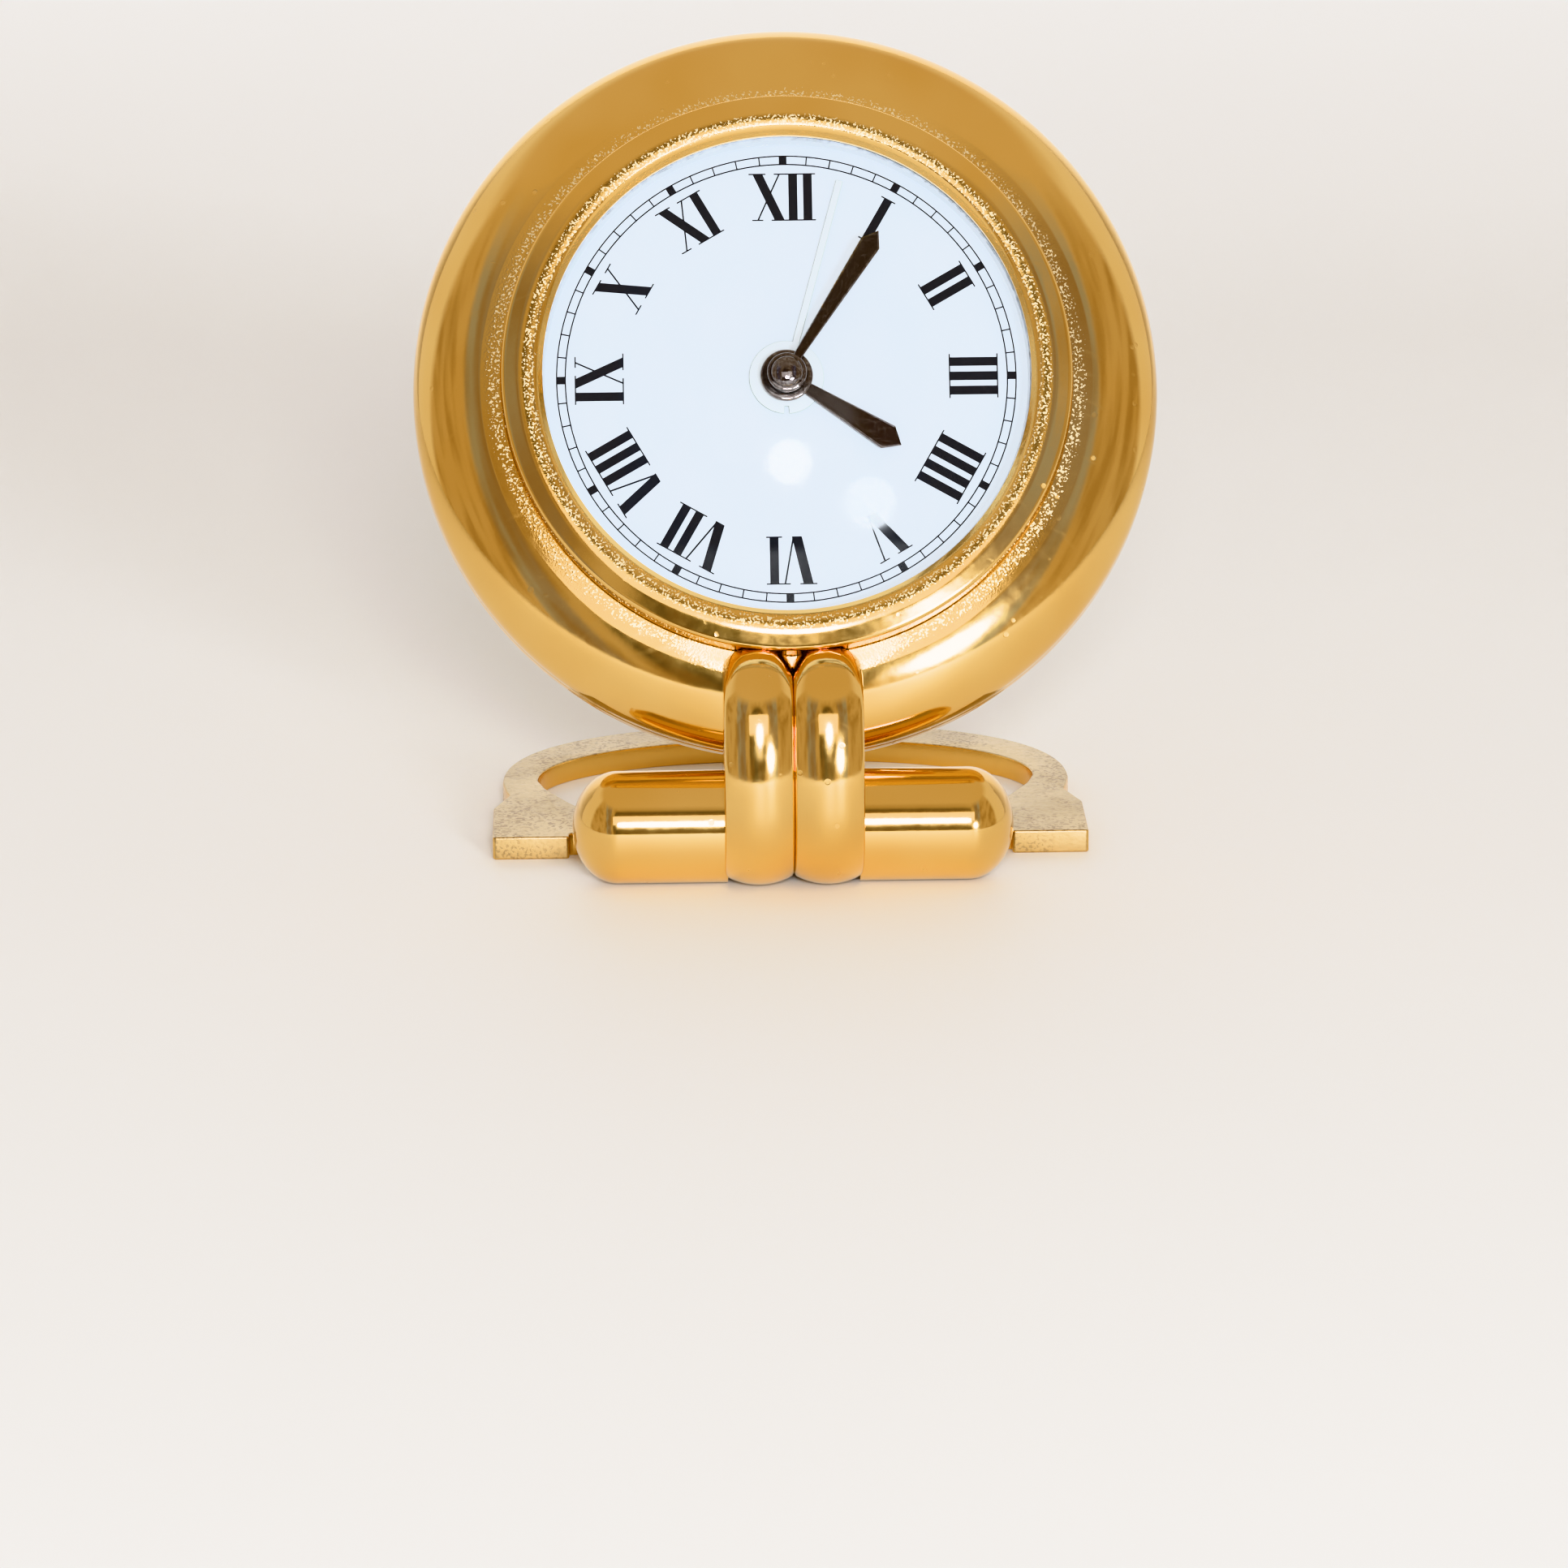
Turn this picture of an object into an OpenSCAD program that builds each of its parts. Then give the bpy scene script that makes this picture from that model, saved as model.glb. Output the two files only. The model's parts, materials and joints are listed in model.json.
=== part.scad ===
// Travel alarm clock: a round gilt case on a barred strap, with a folding stirrup stand.
// +X is to the right of the dial, +Y goes back, +Z is up. The origin is the middle of
// the footprint, on the table. Parts of the case are drawn in the case's own frame:
// its origin is the middle of the case, its Y runs up the face and its Z comes forward.

/* [Case] */
// Outside diameter of the round case
case_d = 70; // [68:0.5:72]
// How far the face leans back from upright, in degrees
lean = 26.5; // [24:0.5:29]
// Height of the face's middle above the bar, measured along the face
face_rise = 41.5; // [41.5:0.1:42.5]
// Outside diameter of the raised bezel ring
bezel_d = 53.3; // [52.8:0.1:53.6]
// Height of the dial's surface in front of the middle of the case
dial_front = 5.5; // [5.4:0.05:5.6]
// Radius of the crystal's dome
crystal_dome_r = 50; // [48:1:60]

/* [Dial] */
// Outer radius of the minute track
track_r = 21.55; // [21:0.05:21.8]
// Radial width of the minute track
track_w = 0.94; // [0.8:0.02:1.1]
// Radius of the numerals' outer ends
numeral_r = 19.8; // [19.5:0.05:20]
// Height of the numerals
numeral_h = 4.6; // [4.4:0.1:4.9]
// Width of a numeral's thick stroke
stroke_w = 0.84; // [0.6:0.02:0.9]

/* [Hands] */
// Minutes past the hour that the clock shows at rest
minutes_shown = 5.5; // [0:0.5:59.5]
// Hour that the clock shows at rest
hour_shown = 4; // [0:1:11]
// Hour that the alarm hand shows at rest
alarm_shown = 0.52; // [0:0.01:11.9]
// Length of the minute hand
minute_len = 16.2; // [15:0.1:17]
// Length of the hour hand
hour_len = 12.6; // [12:0.1:13.5]
// Length of the alarm hand
alarm_len = 19.7; // [19:0.1:20]

/* [Foot] */
// Radius of the crossbar
bar_r = 5.25; // [5:0.05:5.3]
// Half length of the crossbar
bar_half = 20.55; // [20:0.05:22]
// Width of one of the strap's two ribs
rib_w = 6.45; // [6.2:0.05:6.6]
// Thickness of the stirrup plate
plate_t = 2.2; // [2:0.1:2.4]
// Half width of the stirrup across its pads
pad_half = 28.1; // [27.6:0.1:28.6]

/* [Hidden] */
$fn = 64;

// Colours
gold = "#d8a040";
gold_pale = "#e0bd72";
ink = "#15141a";
enamel = "#f3f6fb";
blackened = "#3a3336";
brass = "#c9a24a";
steel = "#b8bcc2";
black_plastic = "#26282b";
white_plastic = "#e9e8e2";

// Case, in its own frame
case_r = case_d / 2;
rim_band = 0.6;
front_round = [10, 5.4];
back_round = [9.5, 9.2];
wall = 1.6;
bezel_r = bezel_d / 2;
land_r = 28.7;
land_tilt = 9;
seat_z = dial_front - 0.3;
ledge_t = 1;
ledge_r = 24.6;
back_z = -rim_band - back_round[1];
rim_front = case_r - front_round[0];
rim_back = case_r - back_round[0];
spigot_r = 33.1;
spigot_t = 0.7;
arc_steps = 22;

// Back cover
cover_r = 25.15;
cover_t = 1.2;
cover_in_z = back_z + 0.5;
cover_out_z = cover_in_z - cover_t;
cover_bore_r = 24.3;
gasket_t = 0.3;
cover_screw_at = 20.2;

// Crystal and bezel
lip_r = 22.8;
lip_z = 7.7;
crystal_r = 24;
crystal_t = 1.2;
flange_z = dial_front + 1;
crystal_edge_z = lip_z - gasket_t;
dome_edge_r = lip_r - 0.1;
dome_mid_z = lip_z + 0.05 - sqrt(pow(crystal_dome_r, 2) - pow(dome_edge_r, 2));
crest_r = 24.4;
crest_z = 8.85;
crest_round = 3.7;

// Dial
dial_r = 24;
dial_t = 0.4;
print_t = 0.03;
hair_w = 0.13;
block_w = 0.73;
block_h = 0.76;
stem_pitch = 1.38;
serif_out = 0.34;
slant = 1.05;
slanted_w = stroke_w * 1.12;
numerals = ["XII", "I", "II", "III", "IIII", "V", "VI", "VII", "VIII", "IX", "X", "XI"];

// Hands and their tubes: each is a height above the middle of the case
arbor_r = 0.65;
hour_tube_r = 1.3;
alarm_tube_r = 1.9;
run_gap = 0.07;
alarm_disc_z = dial_front + 0.15;
hour_hand_z = dial_front + 0.8;
minute_hand_z = dial_front + 1.9;
minute_angle = minutes_shown * 6;
hour_angle = hour_shown * 30 + minutes_shown / 2;
alarm_angle = alarm_shown * 30;

// Movement
ring_r = 24;
ring_in_r = 21.6;
plate_z = 1.6;
plate_h = 1.2;
bridge_z = -2.6;
bridge_h = 0.7;
board_z = -3.6;
board_h = 0.7;
pillar_at = 18.3;
pillar_angles = [100, 215, 318];
pillar_r = 1.3;

// Gear train: teeth and modules
work_m = 0.3;
cannon_z = 12;
minute_z = 36;
minute_pinion_z = 10;
hour_z = 40;
work_dist = work_m * (cannon_z + minute_z) / 2;
hour_m = 2 * work_dist / (minute_pinion_z + hour_z);
train_m = 0.2;
centre_z = 64;
small_z = 8;
inter_z = 60;
alarm_z = 40;
alarm_pinion_z = 20;
knob_dist = work_m * (alarm_z + alarm_pinion_z) / 2;
knob_angle = 45;

// Places of the wheels, in the case's frame
time_at = knob_dist * [-cos(knob_angle), sin(knob_angle)];
alarm_at = knob_dist * [cos(knob_angle), sin(knob_angle)];
minute_off = acos(knob_dist / 2 / work_dist);
minute_dir = 180 - knob_angle + minute_off;
minute_at = work_dist * [cos(minute_dir), sin(minute_dir)];
inter_dir = 300;
inter_dist = train_m * (centre_z + small_z) / 2;
inter_at = inter_dist * [cos(inter_dir), sin(inter_dir)];
rotor_dir = 20;
rotor_dist = train_m * (inter_z + small_z) / 2;
rotor_at = inter_at + rotor_dist * [cos(rotor_dir), sin(rotor_dir)];
time_dir = atan2(time_at[1] - minute_at[1], time_at[0] - minute_at[0]);

// Phases that put the teeth in mesh
minute_phase = mesh_phase(minute_dir, cannon_z, 0, minute_z);
time_phase = mesh_phase(time_dir, minute_z, minute_phase, cannon_z);
hour_phase = mesh_phase(minute_dir + 180, minute_pinion_z, 0, hour_z);
inter_phase = mesh_phase(inter_dir, centre_z, 0, small_z);
rotor_phase = mesh_phase(rotor_dir, inter_z, 0, small_z);
alarm_phase = mesh_phase(knob_angle, alarm_z, 0, alarm_pinion_z);

// Knobs, switch, battery
shaft_r = 1;
knob_r = 3.6;
knob_h = 1.8;
knob_gap = 0.3;
knob_flutes = 20;
switch_at = [15.5, 2];
switch_travel = 2.5;
battery_at = [0, -13.5];
battery_r = 5.8;
battery_h = 5.4;
cup_r = 6.5;
hatch_r = 7.2;
hatch_turn = 60;
lug_r = 8.1;
lug_arc = 40;
sounder_at = [0, 14.8];
sounder_r = 6;

// Foot: the bar's axis is parallel to X; these are places behind and above its foot
bar_z = 5.3;
foot_y = -19.8;
bar_dome = 4.25;
axle_r = 1.6;
crown_r = 6.3;
saddle_gap = 0.08;
arc_overlap = 0.04;
low_wheel = [-0.4, 8.8];
low_r = 8.8;
long_r = 26;
top_r = 7.8;
low_dir = 179.1;
top_dir = 160.8;
long_mid = low_wheel - (long_r - low_r) * [cos(low_dir), sin(low_dir)];
top_wheel = long_mid + (long_r - top_r) * [cos(top_dir), sin(top_dir)];
pin_at = [11.2, plate_t];
pin_r = 0.9;
knuckle_r = 2.1;
knuckle_half = 6.4;
ear_in = 6.7;
ear_out = 9.7;

// Stirrup outline: distances behind the bar's axis and half widths
pad_y = 8.1;
tread_y = 9.4;
tread_back_y = 13.6;
pad_in = 20.9;
shoulder_y = 18.6;
notch = [26.6, 23.2];
bow = [27.3, 27.9];
arch_y = 48.8;
bow_in = [23.9, 28.5];
arch_in_y = 42.7;
throat = [20.5, 19.6];
outer_power = 2.3;
inner_power = 2.15;

// Angle at which a gear of tb teeth meshes with one of ta teeth, which lies the other
// way along direction dir and has a tooth at phase
function mesh_phase(dir, ta, phase, tb) = dir + 180 - (0.5 - (dir - phase) * ta / 360) * 360 / tb;

// Points of an elliptical arc
function arc(c, r, from, to, steps = arc_steps) =
    [for (i = [0:steps]) let (t = from + (to - from) * i / steps) c + [r[0] * cos(t), r[1] * sin(t)]];

// Points of a superelliptical quarter, from the side to the back
function bow_arc(w, y0, y1, power, steps) =
    [for (i = [0:steps]) let (t = 90 * i / steps)
        [w * pow(cos(t), 2 / power), y0 + (y1 - y0) * pow(sin(t), 2 / power)]];

function mirrored(points) = [for (i = [len(points) - 1:-1:0]) [-points[i][0], points[i][1]]];

// Points of a spur gear's outline
function gear_points(teeth, m) = [
    for (i = [0:teeth - 1], k = [0:3])
        let (
            half = 360 / teeth * 0.21,
            turn = [-1.35, -0.6, 0.6, 1.35][k] * half + 360 * i / teeth,
            r = m * (teeth / 2 + [-1.15, 0.75, 0.75, -1.15][k])
        ) r * [cos(turn), sin(turn)]
];

module in_foot() {
    translate([0, foot_y, 0]) children();
}

module in_case() {
    in_foot() translate([0, 0, bar_z]) rotate([90 - lean, 0, 0]) translate([0, face_rise, 0]) children();
}

module rod(r, z0, z1) {
    translate([0, 0, z0]) cylinder(r = r, h = z1 - z0);
}

module tube(r, bore, z0, z1) {
    difference() {
        rod(r, z0, z1);
        rod(bore, z0 - 1, z1 + 1);
    }
}

module slab(x0, x1, y0, y1, z0, z1) {
    translate([x0, y0, z0]) cube([x1 - x0, y1 - y0, z1 - z0]);
}

module gear(teeth, m, z0, z1, phase = 0) {
    translate([0, 0, z0]) rotate([0, 0, phase]) linear_extrude(z1 - z0) polygon(gear_points(teeth, m));
}

module at(p) {
    translate([p[0], p[1], 0]) children();
}

// ---- Stand ----

module stirrup_outline() {
    right = concat(
        [[pad_in, tread_y], [pad_in, pad_y], [pad_half, pad_y], [pad_half, shoulder_y]],
        [[notch[0] + 0.5, notch[1] - 1.4], notch, [notch[0] + 0.35, notch[1] + 1.6]],
        bow_arc(bow[0], bow[1], arch_y, outer_power, 20)
    );
    inside = concat(
        [[ear_out, tread_back_y], [throat[0] - 4, tread_back_y + 1.4], [throat[0] - 1.6, throat[1] - 2.6]],
        [throat, [21.8, 22.3], [23.2, 25.6]],
        bow_arc(bow_in[0], bow_in[1], arch_in_y, inner_power, 16)
    );
    difference() {
        polygon(concat([[0, tread_y]], right, mirrored(right)));
        polygon(concat([[0, tread_back_y]], inside, mirrored(inside)));
        translate([-ear_in, 0]) square([2 * ear_in, tread_back_y + 1]);
    }
}

module stirrup_stand() {
    color(gold_pale) in_foot() difference() {
        union() {
            linear_extrude(plate_t) stirrup_outline();
            for (side = [-1, 1])
                translate([side * (ear_in + ear_out) / 2, pin_at[0], pin_at[1]]) rotate([0, 90, 0])
                    cylinder(r = knuckle_r, h = ear_out - ear_in, center = true);
        }
        translate([0, pin_at[0], pin_at[1]]) rotate([0, 90, 0])
            cylinder(r = pin_r, h = 2 * ear_out + 2, center = true);
    }
}

module hinge_pin() {
    color(steel) in_foot() translate([0, pin_at[0], pin_at[1]]) rotate([0, 90, 0])
        cylinder(r = pin_r, h = 2 * ear_out, center = true);
}

module friction_washers() {
    color(steel) in_foot() for (side = [-1, 1])
        translate([side * (knuckle_half + ear_in) / 2, pin_at[0], pin_at[1]]) rotate([0, 90, 0])
            difference() {
                cylinder(r = knuckle_r - 0.2, h = 0.22, center = true);
                cylinder(r = pin_r, h = 1, center = true);
            }
}

// ---- Strap and bar ----

// Half section of a crowned rib that turns about the first axis at radius r
module crown_section(r, depth) {
    half = rib_w / 2;
    polygon(concat(
        [[r - depth, half], [r - depth, -half]],
        [for (i = [-4:4]) let (x = half * i / 4) [r - crown_r + sqrt(pow(crown_r, 2) - x * x), x]]
    ));
}

// Turns its children's section about the X axis, from angle a to angle b in the YZ plane
module turn_about(p, a = 0, b = 360) {
    translate([0, p[0], p[1]]) rotate([a, 0, 0]) rotate([90, 0, 90])
        rotate_extrude(angle = b - a) children();
}

module rib() {
    turn_about(low_wheel) crown_section(low_r + arc_overlap, low_r);
    turn_about(top_wheel) crown_section(top_r + arc_overlap, top_r);
    turn_about(long_mid, top_dir, low_dir) crown_section(long_r, 6);
}

// What the strap must clear: the case's outline near its lowest point, drawn straight across
module saddle() {
    outline = concat(
        [[0, back_z - saddle_gap]],
        arc([rim_back, -rim_band], back_round + [saddle_gap, saddle_gap], -90, 0, 8),
        arc([rim_front, rim_band], front_round + [saddle_gap, saddle_gap], 0, land_turn(), 6),
        [[bezel_r + saddle_gap, land_z() + saddle_gap], [bezel_r + saddle_gap, 14], [0, 14]]
    );
    in_case() translate([-rib_w * 3, 0, 0]) rotate([90, 0, 90]) linear_extrude(rib_w * 6)
        polygon([for (p = outline) [-p[0], p[1]]]);
}

module strap() {
    color(gold) difference() {
        union() {
            difference() {
                in_foot() for (side = [-1, 1])
                    translate([side * rib_w / 2, 0, 0]) rib();
                saddle();
            }
            in_foot() translate([0, pin_at[0], pin_at[1]]) rotate([0, 90, 0])
                cylinder(r = knuckle_r, h = 2 * knuckle_half, center = true);
            in_foot() translate([-knuckle_half, 0, 0]) rotate([90, 0, 90])
                linear_extrude(2 * knuckle_half) polygon([
                    [3, 1], [pin_at[0], pin_at[1] - knuckle_r], [pin_at[0], pin_at[1] + knuckle_r], [5, 5.4]
                ]);
        }
        in_foot() translate([0, pin_at[0], pin_at[1]]) rotate([0, 90, 0])
            cylinder(r = pin_r + 0.05, h = 20, center = true);
        in_foot() translate([0, 0, bar_z]) rotate([0, 90, 0])
            cylinder(r = axle_r, h = 20, center = true);
    }
}

module bar_part() {
    difference() {
        rotate_extrude() polygon(concat(
            [[0, rib_w], [bar_r, rib_w]],
            arc([0, bar_half - bar_dome], [bar_r, bar_dome], 0, 90)
        ));
        rod(axle_r, 0, rib_w + 6);
    }
}

module bar_left() {
    color(gold) in_foot() translate([0, 0, bar_z]) rotate([0, -90, 0]) bar_part();
}

module bar_right() {
    color(gold) in_foot() translate([0, 0, bar_z]) rotate([0, 90, 0]) bar_part();
}

module bar_axle() {
    color(steel) in_foot() translate([0, 0, bar_z]) rotate([0, 90, 0])
        cylinder(r = axle_r, h = 2 * (rib_w + 6), center = true);
}

// ---- Case ----

function land_turn() = acos((land_r - rim_front) / front_round[0]);
function land_z() = rim_band + front_round[1] * sin(land_turn()) + (land_r - bezel_r) * tan(land_tilt);

module case_front() {
    color(gold) in_case() rotate_extrude() polygon(concat(
        [[case_r, 0]],
        arc([rim_front, rim_band], front_round, 0, land_turn()),
        [[bezel_r + 0.05, land_z()], [bezel_r + 0.05, seat_z], [ledge_r, seat_z]],
        [[ledge_r, seat_z - ledge_t]],
        arc([rim_front, rim_band], [front_round[0] - wall, seat_z - ledge_t - rim_band], 90, 0),
        [[case_r - wall, 0]]
    ));
}

module case_back() {
    spigot_in = spigot_r - spigot_t;
    color(gold) in_case() rotate_extrude() polygon(concat(
        [[case_r, 0]],
        arc([rim_back, -rim_band], back_round, 0, -90),
        [[cover_r + 0.05, back_z], [cover_r + 0.05, back_z + 0.8], [cover_bore_r, back_z + 0.8]],
        [[cover_bore_r, back_z + 1.8]],
        arc([rim_back, -rim_band], [back_round[0] - wall, back_round[1] - 1.8], -90, -8),
        [[spigot_in, -1.6], [spigot_in, 1], [spigot_r, 1], [spigot_r, 0]]
    ));
}

module bezel_ring() {
    color(gold) in_case() rotate_extrude() polygon(concat(
        [[crystal_r + 0.1, seat_z], [bezel_r, seat_z]],
        arc([bezel_r - 0.4, 8.08], [0.4, 0.4], 0, 74, 6),
        arc([crest_r, crest_z - crest_round], [crest_round, crest_round], 76, 102, 8),
        [[23.35, 8.6], [lip_r, 8.05], [lip_r, lip_z], [crystal_r + 0.1, lip_z]]
    ));
}

module crystal() {
    color("#dfe9f0", 0.3) in_case() union() {
        intersection() {
            rod(dome_edge_r, 0, 20);
            difference() {
                translate([0, 0, dome_mid_z]) sphere(r = crystal_dome_r, $fn = 128);
                translate([0, 0, dome_mid_z]) sphere(r = crystal_dome_r - crystal_t, $fn = 128);
            }
        }
        tube(crystal_r, lip_r - 0.6, flange_z, crystal_edge_z);
    }
}

module crystal_gasket() {
    color(black_plastic) in_case() tube(crystal_r, lip_r + 0.2, crystal_edge_z, lip_z);
}

module dial_flange() {
    color(enamel) in_case() rotate_extrude() polygon([
        [lip_r - 0.2, dial_front], [dial_r, dial_front], [dial_r, flange_z], [lip_r - 0.05, flange_z]
    ]);
}

// ---- Dial ----

module dial() {
    color(enamel) in_case() tube(dial_r, alarm_tube_r + 0.1, dial_front - dial_t, dial_front);
}

// A straight stroke from x0 at the foot to x1 at the top
module stroke(x0, x1, w) {
    polygon([[x0 - w / 2, 0], [x0 + w / 2, 0], [x1 + w / 2, numeral_h], [x1 - w / 2, numeral_h]]);
}

module serif(x, w, top) {
    translate([x - w / 2 - serif_out, top ? numeral_h - hair_w : 0]) square([w + 2 * serif_out, hair_w]);
}

module stem() {
    stroke(0, 0, stroke_w);
    serif(0, stroke_w, true);
    serif(0, stroke_w, false);
}

module vee() {
    stroke(0, -slant, slanted_w);
    stroke(0.3, slant + 0.1, hair_w * 1.3);
    serif(-slant, slanted_w, true);
    serif(slant + 0.1, hair_w * 3, true);
}

module ex() {
    stroke(slant, -slant, slanted_w);
    stroke(-slant, slant, hair_w * 1.3);
    for (top = [true, false]) {
        serif(-slant, top ? slanted_w : hair_w * 3, top);
        serif(slant, top ? hair_w * 3 : slanted_w, top);
    }
}

function glyph_w(c) = c == "I" ? stem_pitch : c == "V" ? 2.85 : 3.2;
function word_w(word, n) = n == 0 ? 0 : glyph_w(word[n - 1]) + word_w(word, n - 1);

module numeral(word) {
    for (i = [0:len(word) - 1])
        translate([word_w(word, i) + glyph_w(word[i]) / 2 - word_w(word, len(word)) / 2, 0]) {
            if (word[i] == "I") stem();
            if (word[i] == "V") vee();
            if (word[i] == "X") ex();
        }
}

module dial_numerals() {
    color(ink) in_case() translate([0, 0, dial_front]) linear_extrude(print_t)
        for (hour = [0:11])
            rotate([0, 0, -30 * hour]) translate([0, numeral_r - numeral_h]) numeral(numerals[hour]);
}

module minute_track() {
    in_r = track_r - track_w;
    color(ink) in_case() translate([0, 0, dial_front]) linear_extrude(print_t) {
        difference() {
            circle(r = track_r);
            circle(r = track_r - hair_w);
        }
        difference() {
            circle(r = in_r + hair_w);
            circle(r = in_r);
        }
        for (minute = [0:59])
            rotate([0, 0, -6 * minute])
                if (minute % 5 == 0)
                    translate([-block_w / 2, track_r - block_h - hair_w / 2]) square([block_w, block_h]);
                else
                    translate([-hair_w / 2, in_r + hair_w / 2]) square([hair_w, track_w - hair_w]);
    }
}

// ---- Movement, fixed parts ----

module movement_ring() {
    ledge_in = ring_in_r - 1;
    color(black_plastic) in_case() difference() {
        union() {
            rotate_extrude() polygon([
                [ring_r, cover_in_z + 0.05], [ring_r, dial_front - dial_t], [ring_in_r, dial_front - dial_t],
                [ring_in_r, plate_z], [ledge_in, plate_z], [ledge_in, plate_z - 0.8],
                [ring_in_r, plate_z - 0.8], [ring_in_r, cover_in_z + 0.05]
            ]);
            for (turn = [45:90:315])
                rotate([0, 0, turn]) translate([cover_screw_at, 0, 0]) rod(1.9, cover_in_z + 0.15, -4.6);
        }
        for (turn = [45:90:315])
            rotate([0, 0, turn]) translate([cover_screw_at, 0, 0]) rod(0.8, cover_in_z - 1, -5.4);
    }
}

module main_plate() {
    color(black_plastic) in_case() difference() {
        union() {
            rod(ring_in_r - 0.05, plate_z, plate_z + plate_h);
            for (turn = pillar_angles)
                rotate([0, 0, turn]) translate([pillar_at, 0, 0]) rod(pillar_r, bridge_z + bridge_h, plate_z + 0.4);
        }
        rod(arbor_r + run_gap, 0, 5);
        at(minute_at) rod(0.5, 0, 5);
        at(inter_at) rod(0.35, 0, 2.3);
        at(rotor_at) rod(0.3, 0, 2.3);
        at(time_at) rod(shaft_r + run_gap, 0, 5);
        at(alarm_at) rod(shaft_r + run_gap, 0, 5);
        for (turn = pillar_angles)
            rotate([0, 0, turn]) translate([pillar_at, 0, 0]) rod(0.6, bridge_z - 1, 1.2);
    }
}

module wheel_post() {
    color(steel) in_case() at(minute_at) rod(0.5, plate_z, 4.15);
}

module train_bridge() {
    color(white_plastic) in_case() difference() {
        rod(20.4, bridge_z, bridge_z + bridge_h);
        slab(12.9, 30, -11, 3, -5, 5);
        rod(arbor_r + run_gap, -5, 5);
        at(inter_at) rod(0.35, -5, 5);
        at(rotor_at) rod(0.3, -5, 5);
        at(time_at) rod(shaft_r + run_gap, -5, 5);
        at(alarm_at) rod(shaft_r + run_gap, -5, 5);
        for (turn = pillar_angles)
            rotate([0, 0, turn]) translate([pillar_at, 0, 0]) rod(0.65, -5, 5);
    }
}

module bridge_screws() {
    color(steel) in_case() for (turn = pillar_angles)
        rotate([0, 0, turn]) translate([pillar_at, 0, 0]) difference() {
            union() {
                rod(1.1, bridge_z - 0.7, bridge_z);
                rod(0.6, bridge_z, 1.2);
            }
            slab(-2, 2, -0.15, 0.15, bridge_z - 1, bridge_z - 0.35);
        }
}

module circuit_board() {
    color("#2f6b46") in_case() difference() {
        intersection() {
            rod(20.3, board_z, board_z + board_h);
            slab(-30, 30, -6.4, 30, -5, 5);
        }
        slab(12.9, 30, -11, 3, -5, 5);
        at(time_at) rod(shaft_r + 0.4, -5, 5);
        at(alarm_at) rod(shaft_r + 0.4, -5, 5);
        for (turn = pillar_angles)
            rotate([0, 0, turn]) translate([pillar_at, 0, 0]) rod(1.5, -5, 5);
    }
}

module quartz_can() {
    color(steel) in_case() translate([-13.5, 0, board_z - 1.05]) rotate([90, 0, 0])
        cylinder(r = 1, h = 6, center = true);
}

module driver_chip() {
    color(ink) in_case() slab(-2.2, 2.2, -1.8, 2.6, board_z - 1.1, board_z);
}

module stator() {
    color(steel) in_case() difference() {
        union() {
            slab(rotor_at[0] - 2.6, rotor_at[0] + 2.6, -10.4, 2.4, -1.35, -0.75);
            slab(rotor_at[0], 16.3, -10.4, -8.9, -1.35, -0.75);
            slab(rotor_at[0], 16.3, 0.9, 2.4, -1.35, -0.75);
        }
        at(rotor_at) rod(2, -3, 3);
    }
}

module coil_core() {
    color(steel) in_case() slab(14.9, 16.1, -8.9, 0.9, -1.35, -0.75);
}

module drive_coil() {
    color("#b5652e") in_case() translate([15.5, -4, -1.05]) difference() {
        rotate([90, 0, 0]) cylinder(r = 1.6, h = 8.6, center = true);
        cube([1.2, 10, 0.6], center = true);
    }
}

module alarm_contact() {
    color(brass) in_case() {
        slab(12, 14.4, -5.2, -3.2, plate_z + plate_h, plate_z + plate_h + 0.3);
        slab(5, 14.4, -4.6, -3.8, plate_z + plate_h + 0.3, plate_z + plate_h + 0.45);
    }
}

module sounder() {
    color(brass) in_case() at(sounder_at) rod(sounder_r, cover_in_z, cover_in_z + 0.4);
}

module battery_cup() {
    color(black_plastic) in_case() at(battery_at) difference() {
        rod(cup_r, cover_in_z + 0.2, bridge_z);
        rod(battery_r + 0.12, cover_in_z - 1, bridge_z - 0.5);
        slab(-1.6, 1.6, 0, 10, -9, -3.6);
    }
}

module battery() {
    color(steel) in_case() at(battery_at) union() {
        rod(battery_r, -3.5 - battery_h, -3.9);
        rod(battery_r - 1.1, -3.9, -3.5);
    }
}

module contact_plus() {
    color(brass) in_case() at(battery_at) {
        slab(-1.4, 1.4, battery_r + 0.02, battery_r + 0.22, -8.6, -4.5);
        slab(-1.4, 1.4, battery_r + 0.22, 9, -4.7, -4.5);
        slab(-1.4, 1.4, 8.8, 9, -4.5, board_z);
    }
}

module contact_minus() {
    color(brass) in_case() at(battery_at) slab(-1.5, 1.5, -4.5, 4.5, -3.5, bridge_z - 0.5);
}

module back_cover() {
    color(gold) in_case() difference() {
        rod(cover_r, cover_out_z, cover_in_z);
        at(time_at) rod(shaft_r + 0.15, -20, 0);
        at(alarm_at) rod(shaft_r + 0.15, -20, 0);
        at(battery_at) {
            rod(hatch_r + 0.1, -20, 0);
            rotate([0, 0, hatch_turn]) lugs(lug_r + 0.1, lug_arc + 6, -20, 0);
        }
        slab(
            switch_at[0] - 0.7, switch_at[0] + 0.7,
            switch_at[1] - 0.9, switch_at[1] + switch_travel + 0.9, -20, 0
        );
        for (turn = [45:90:315])
            rotate([0, 0, turn]) translate([cover_screw_at, 0, 0]) {
                rod(0.85, -20, 0);
                rod(1.5, -20, cover_out_z + 0.6);
            }
        at(sounder_at) {
            rod(0.5, -20, 0);
            for (turn = [0:60:300])
                rotate([0, 0, turn]) translate([2.2, 0, 0]) rod(0.5, -20, 0);
        }
    }
}

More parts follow.
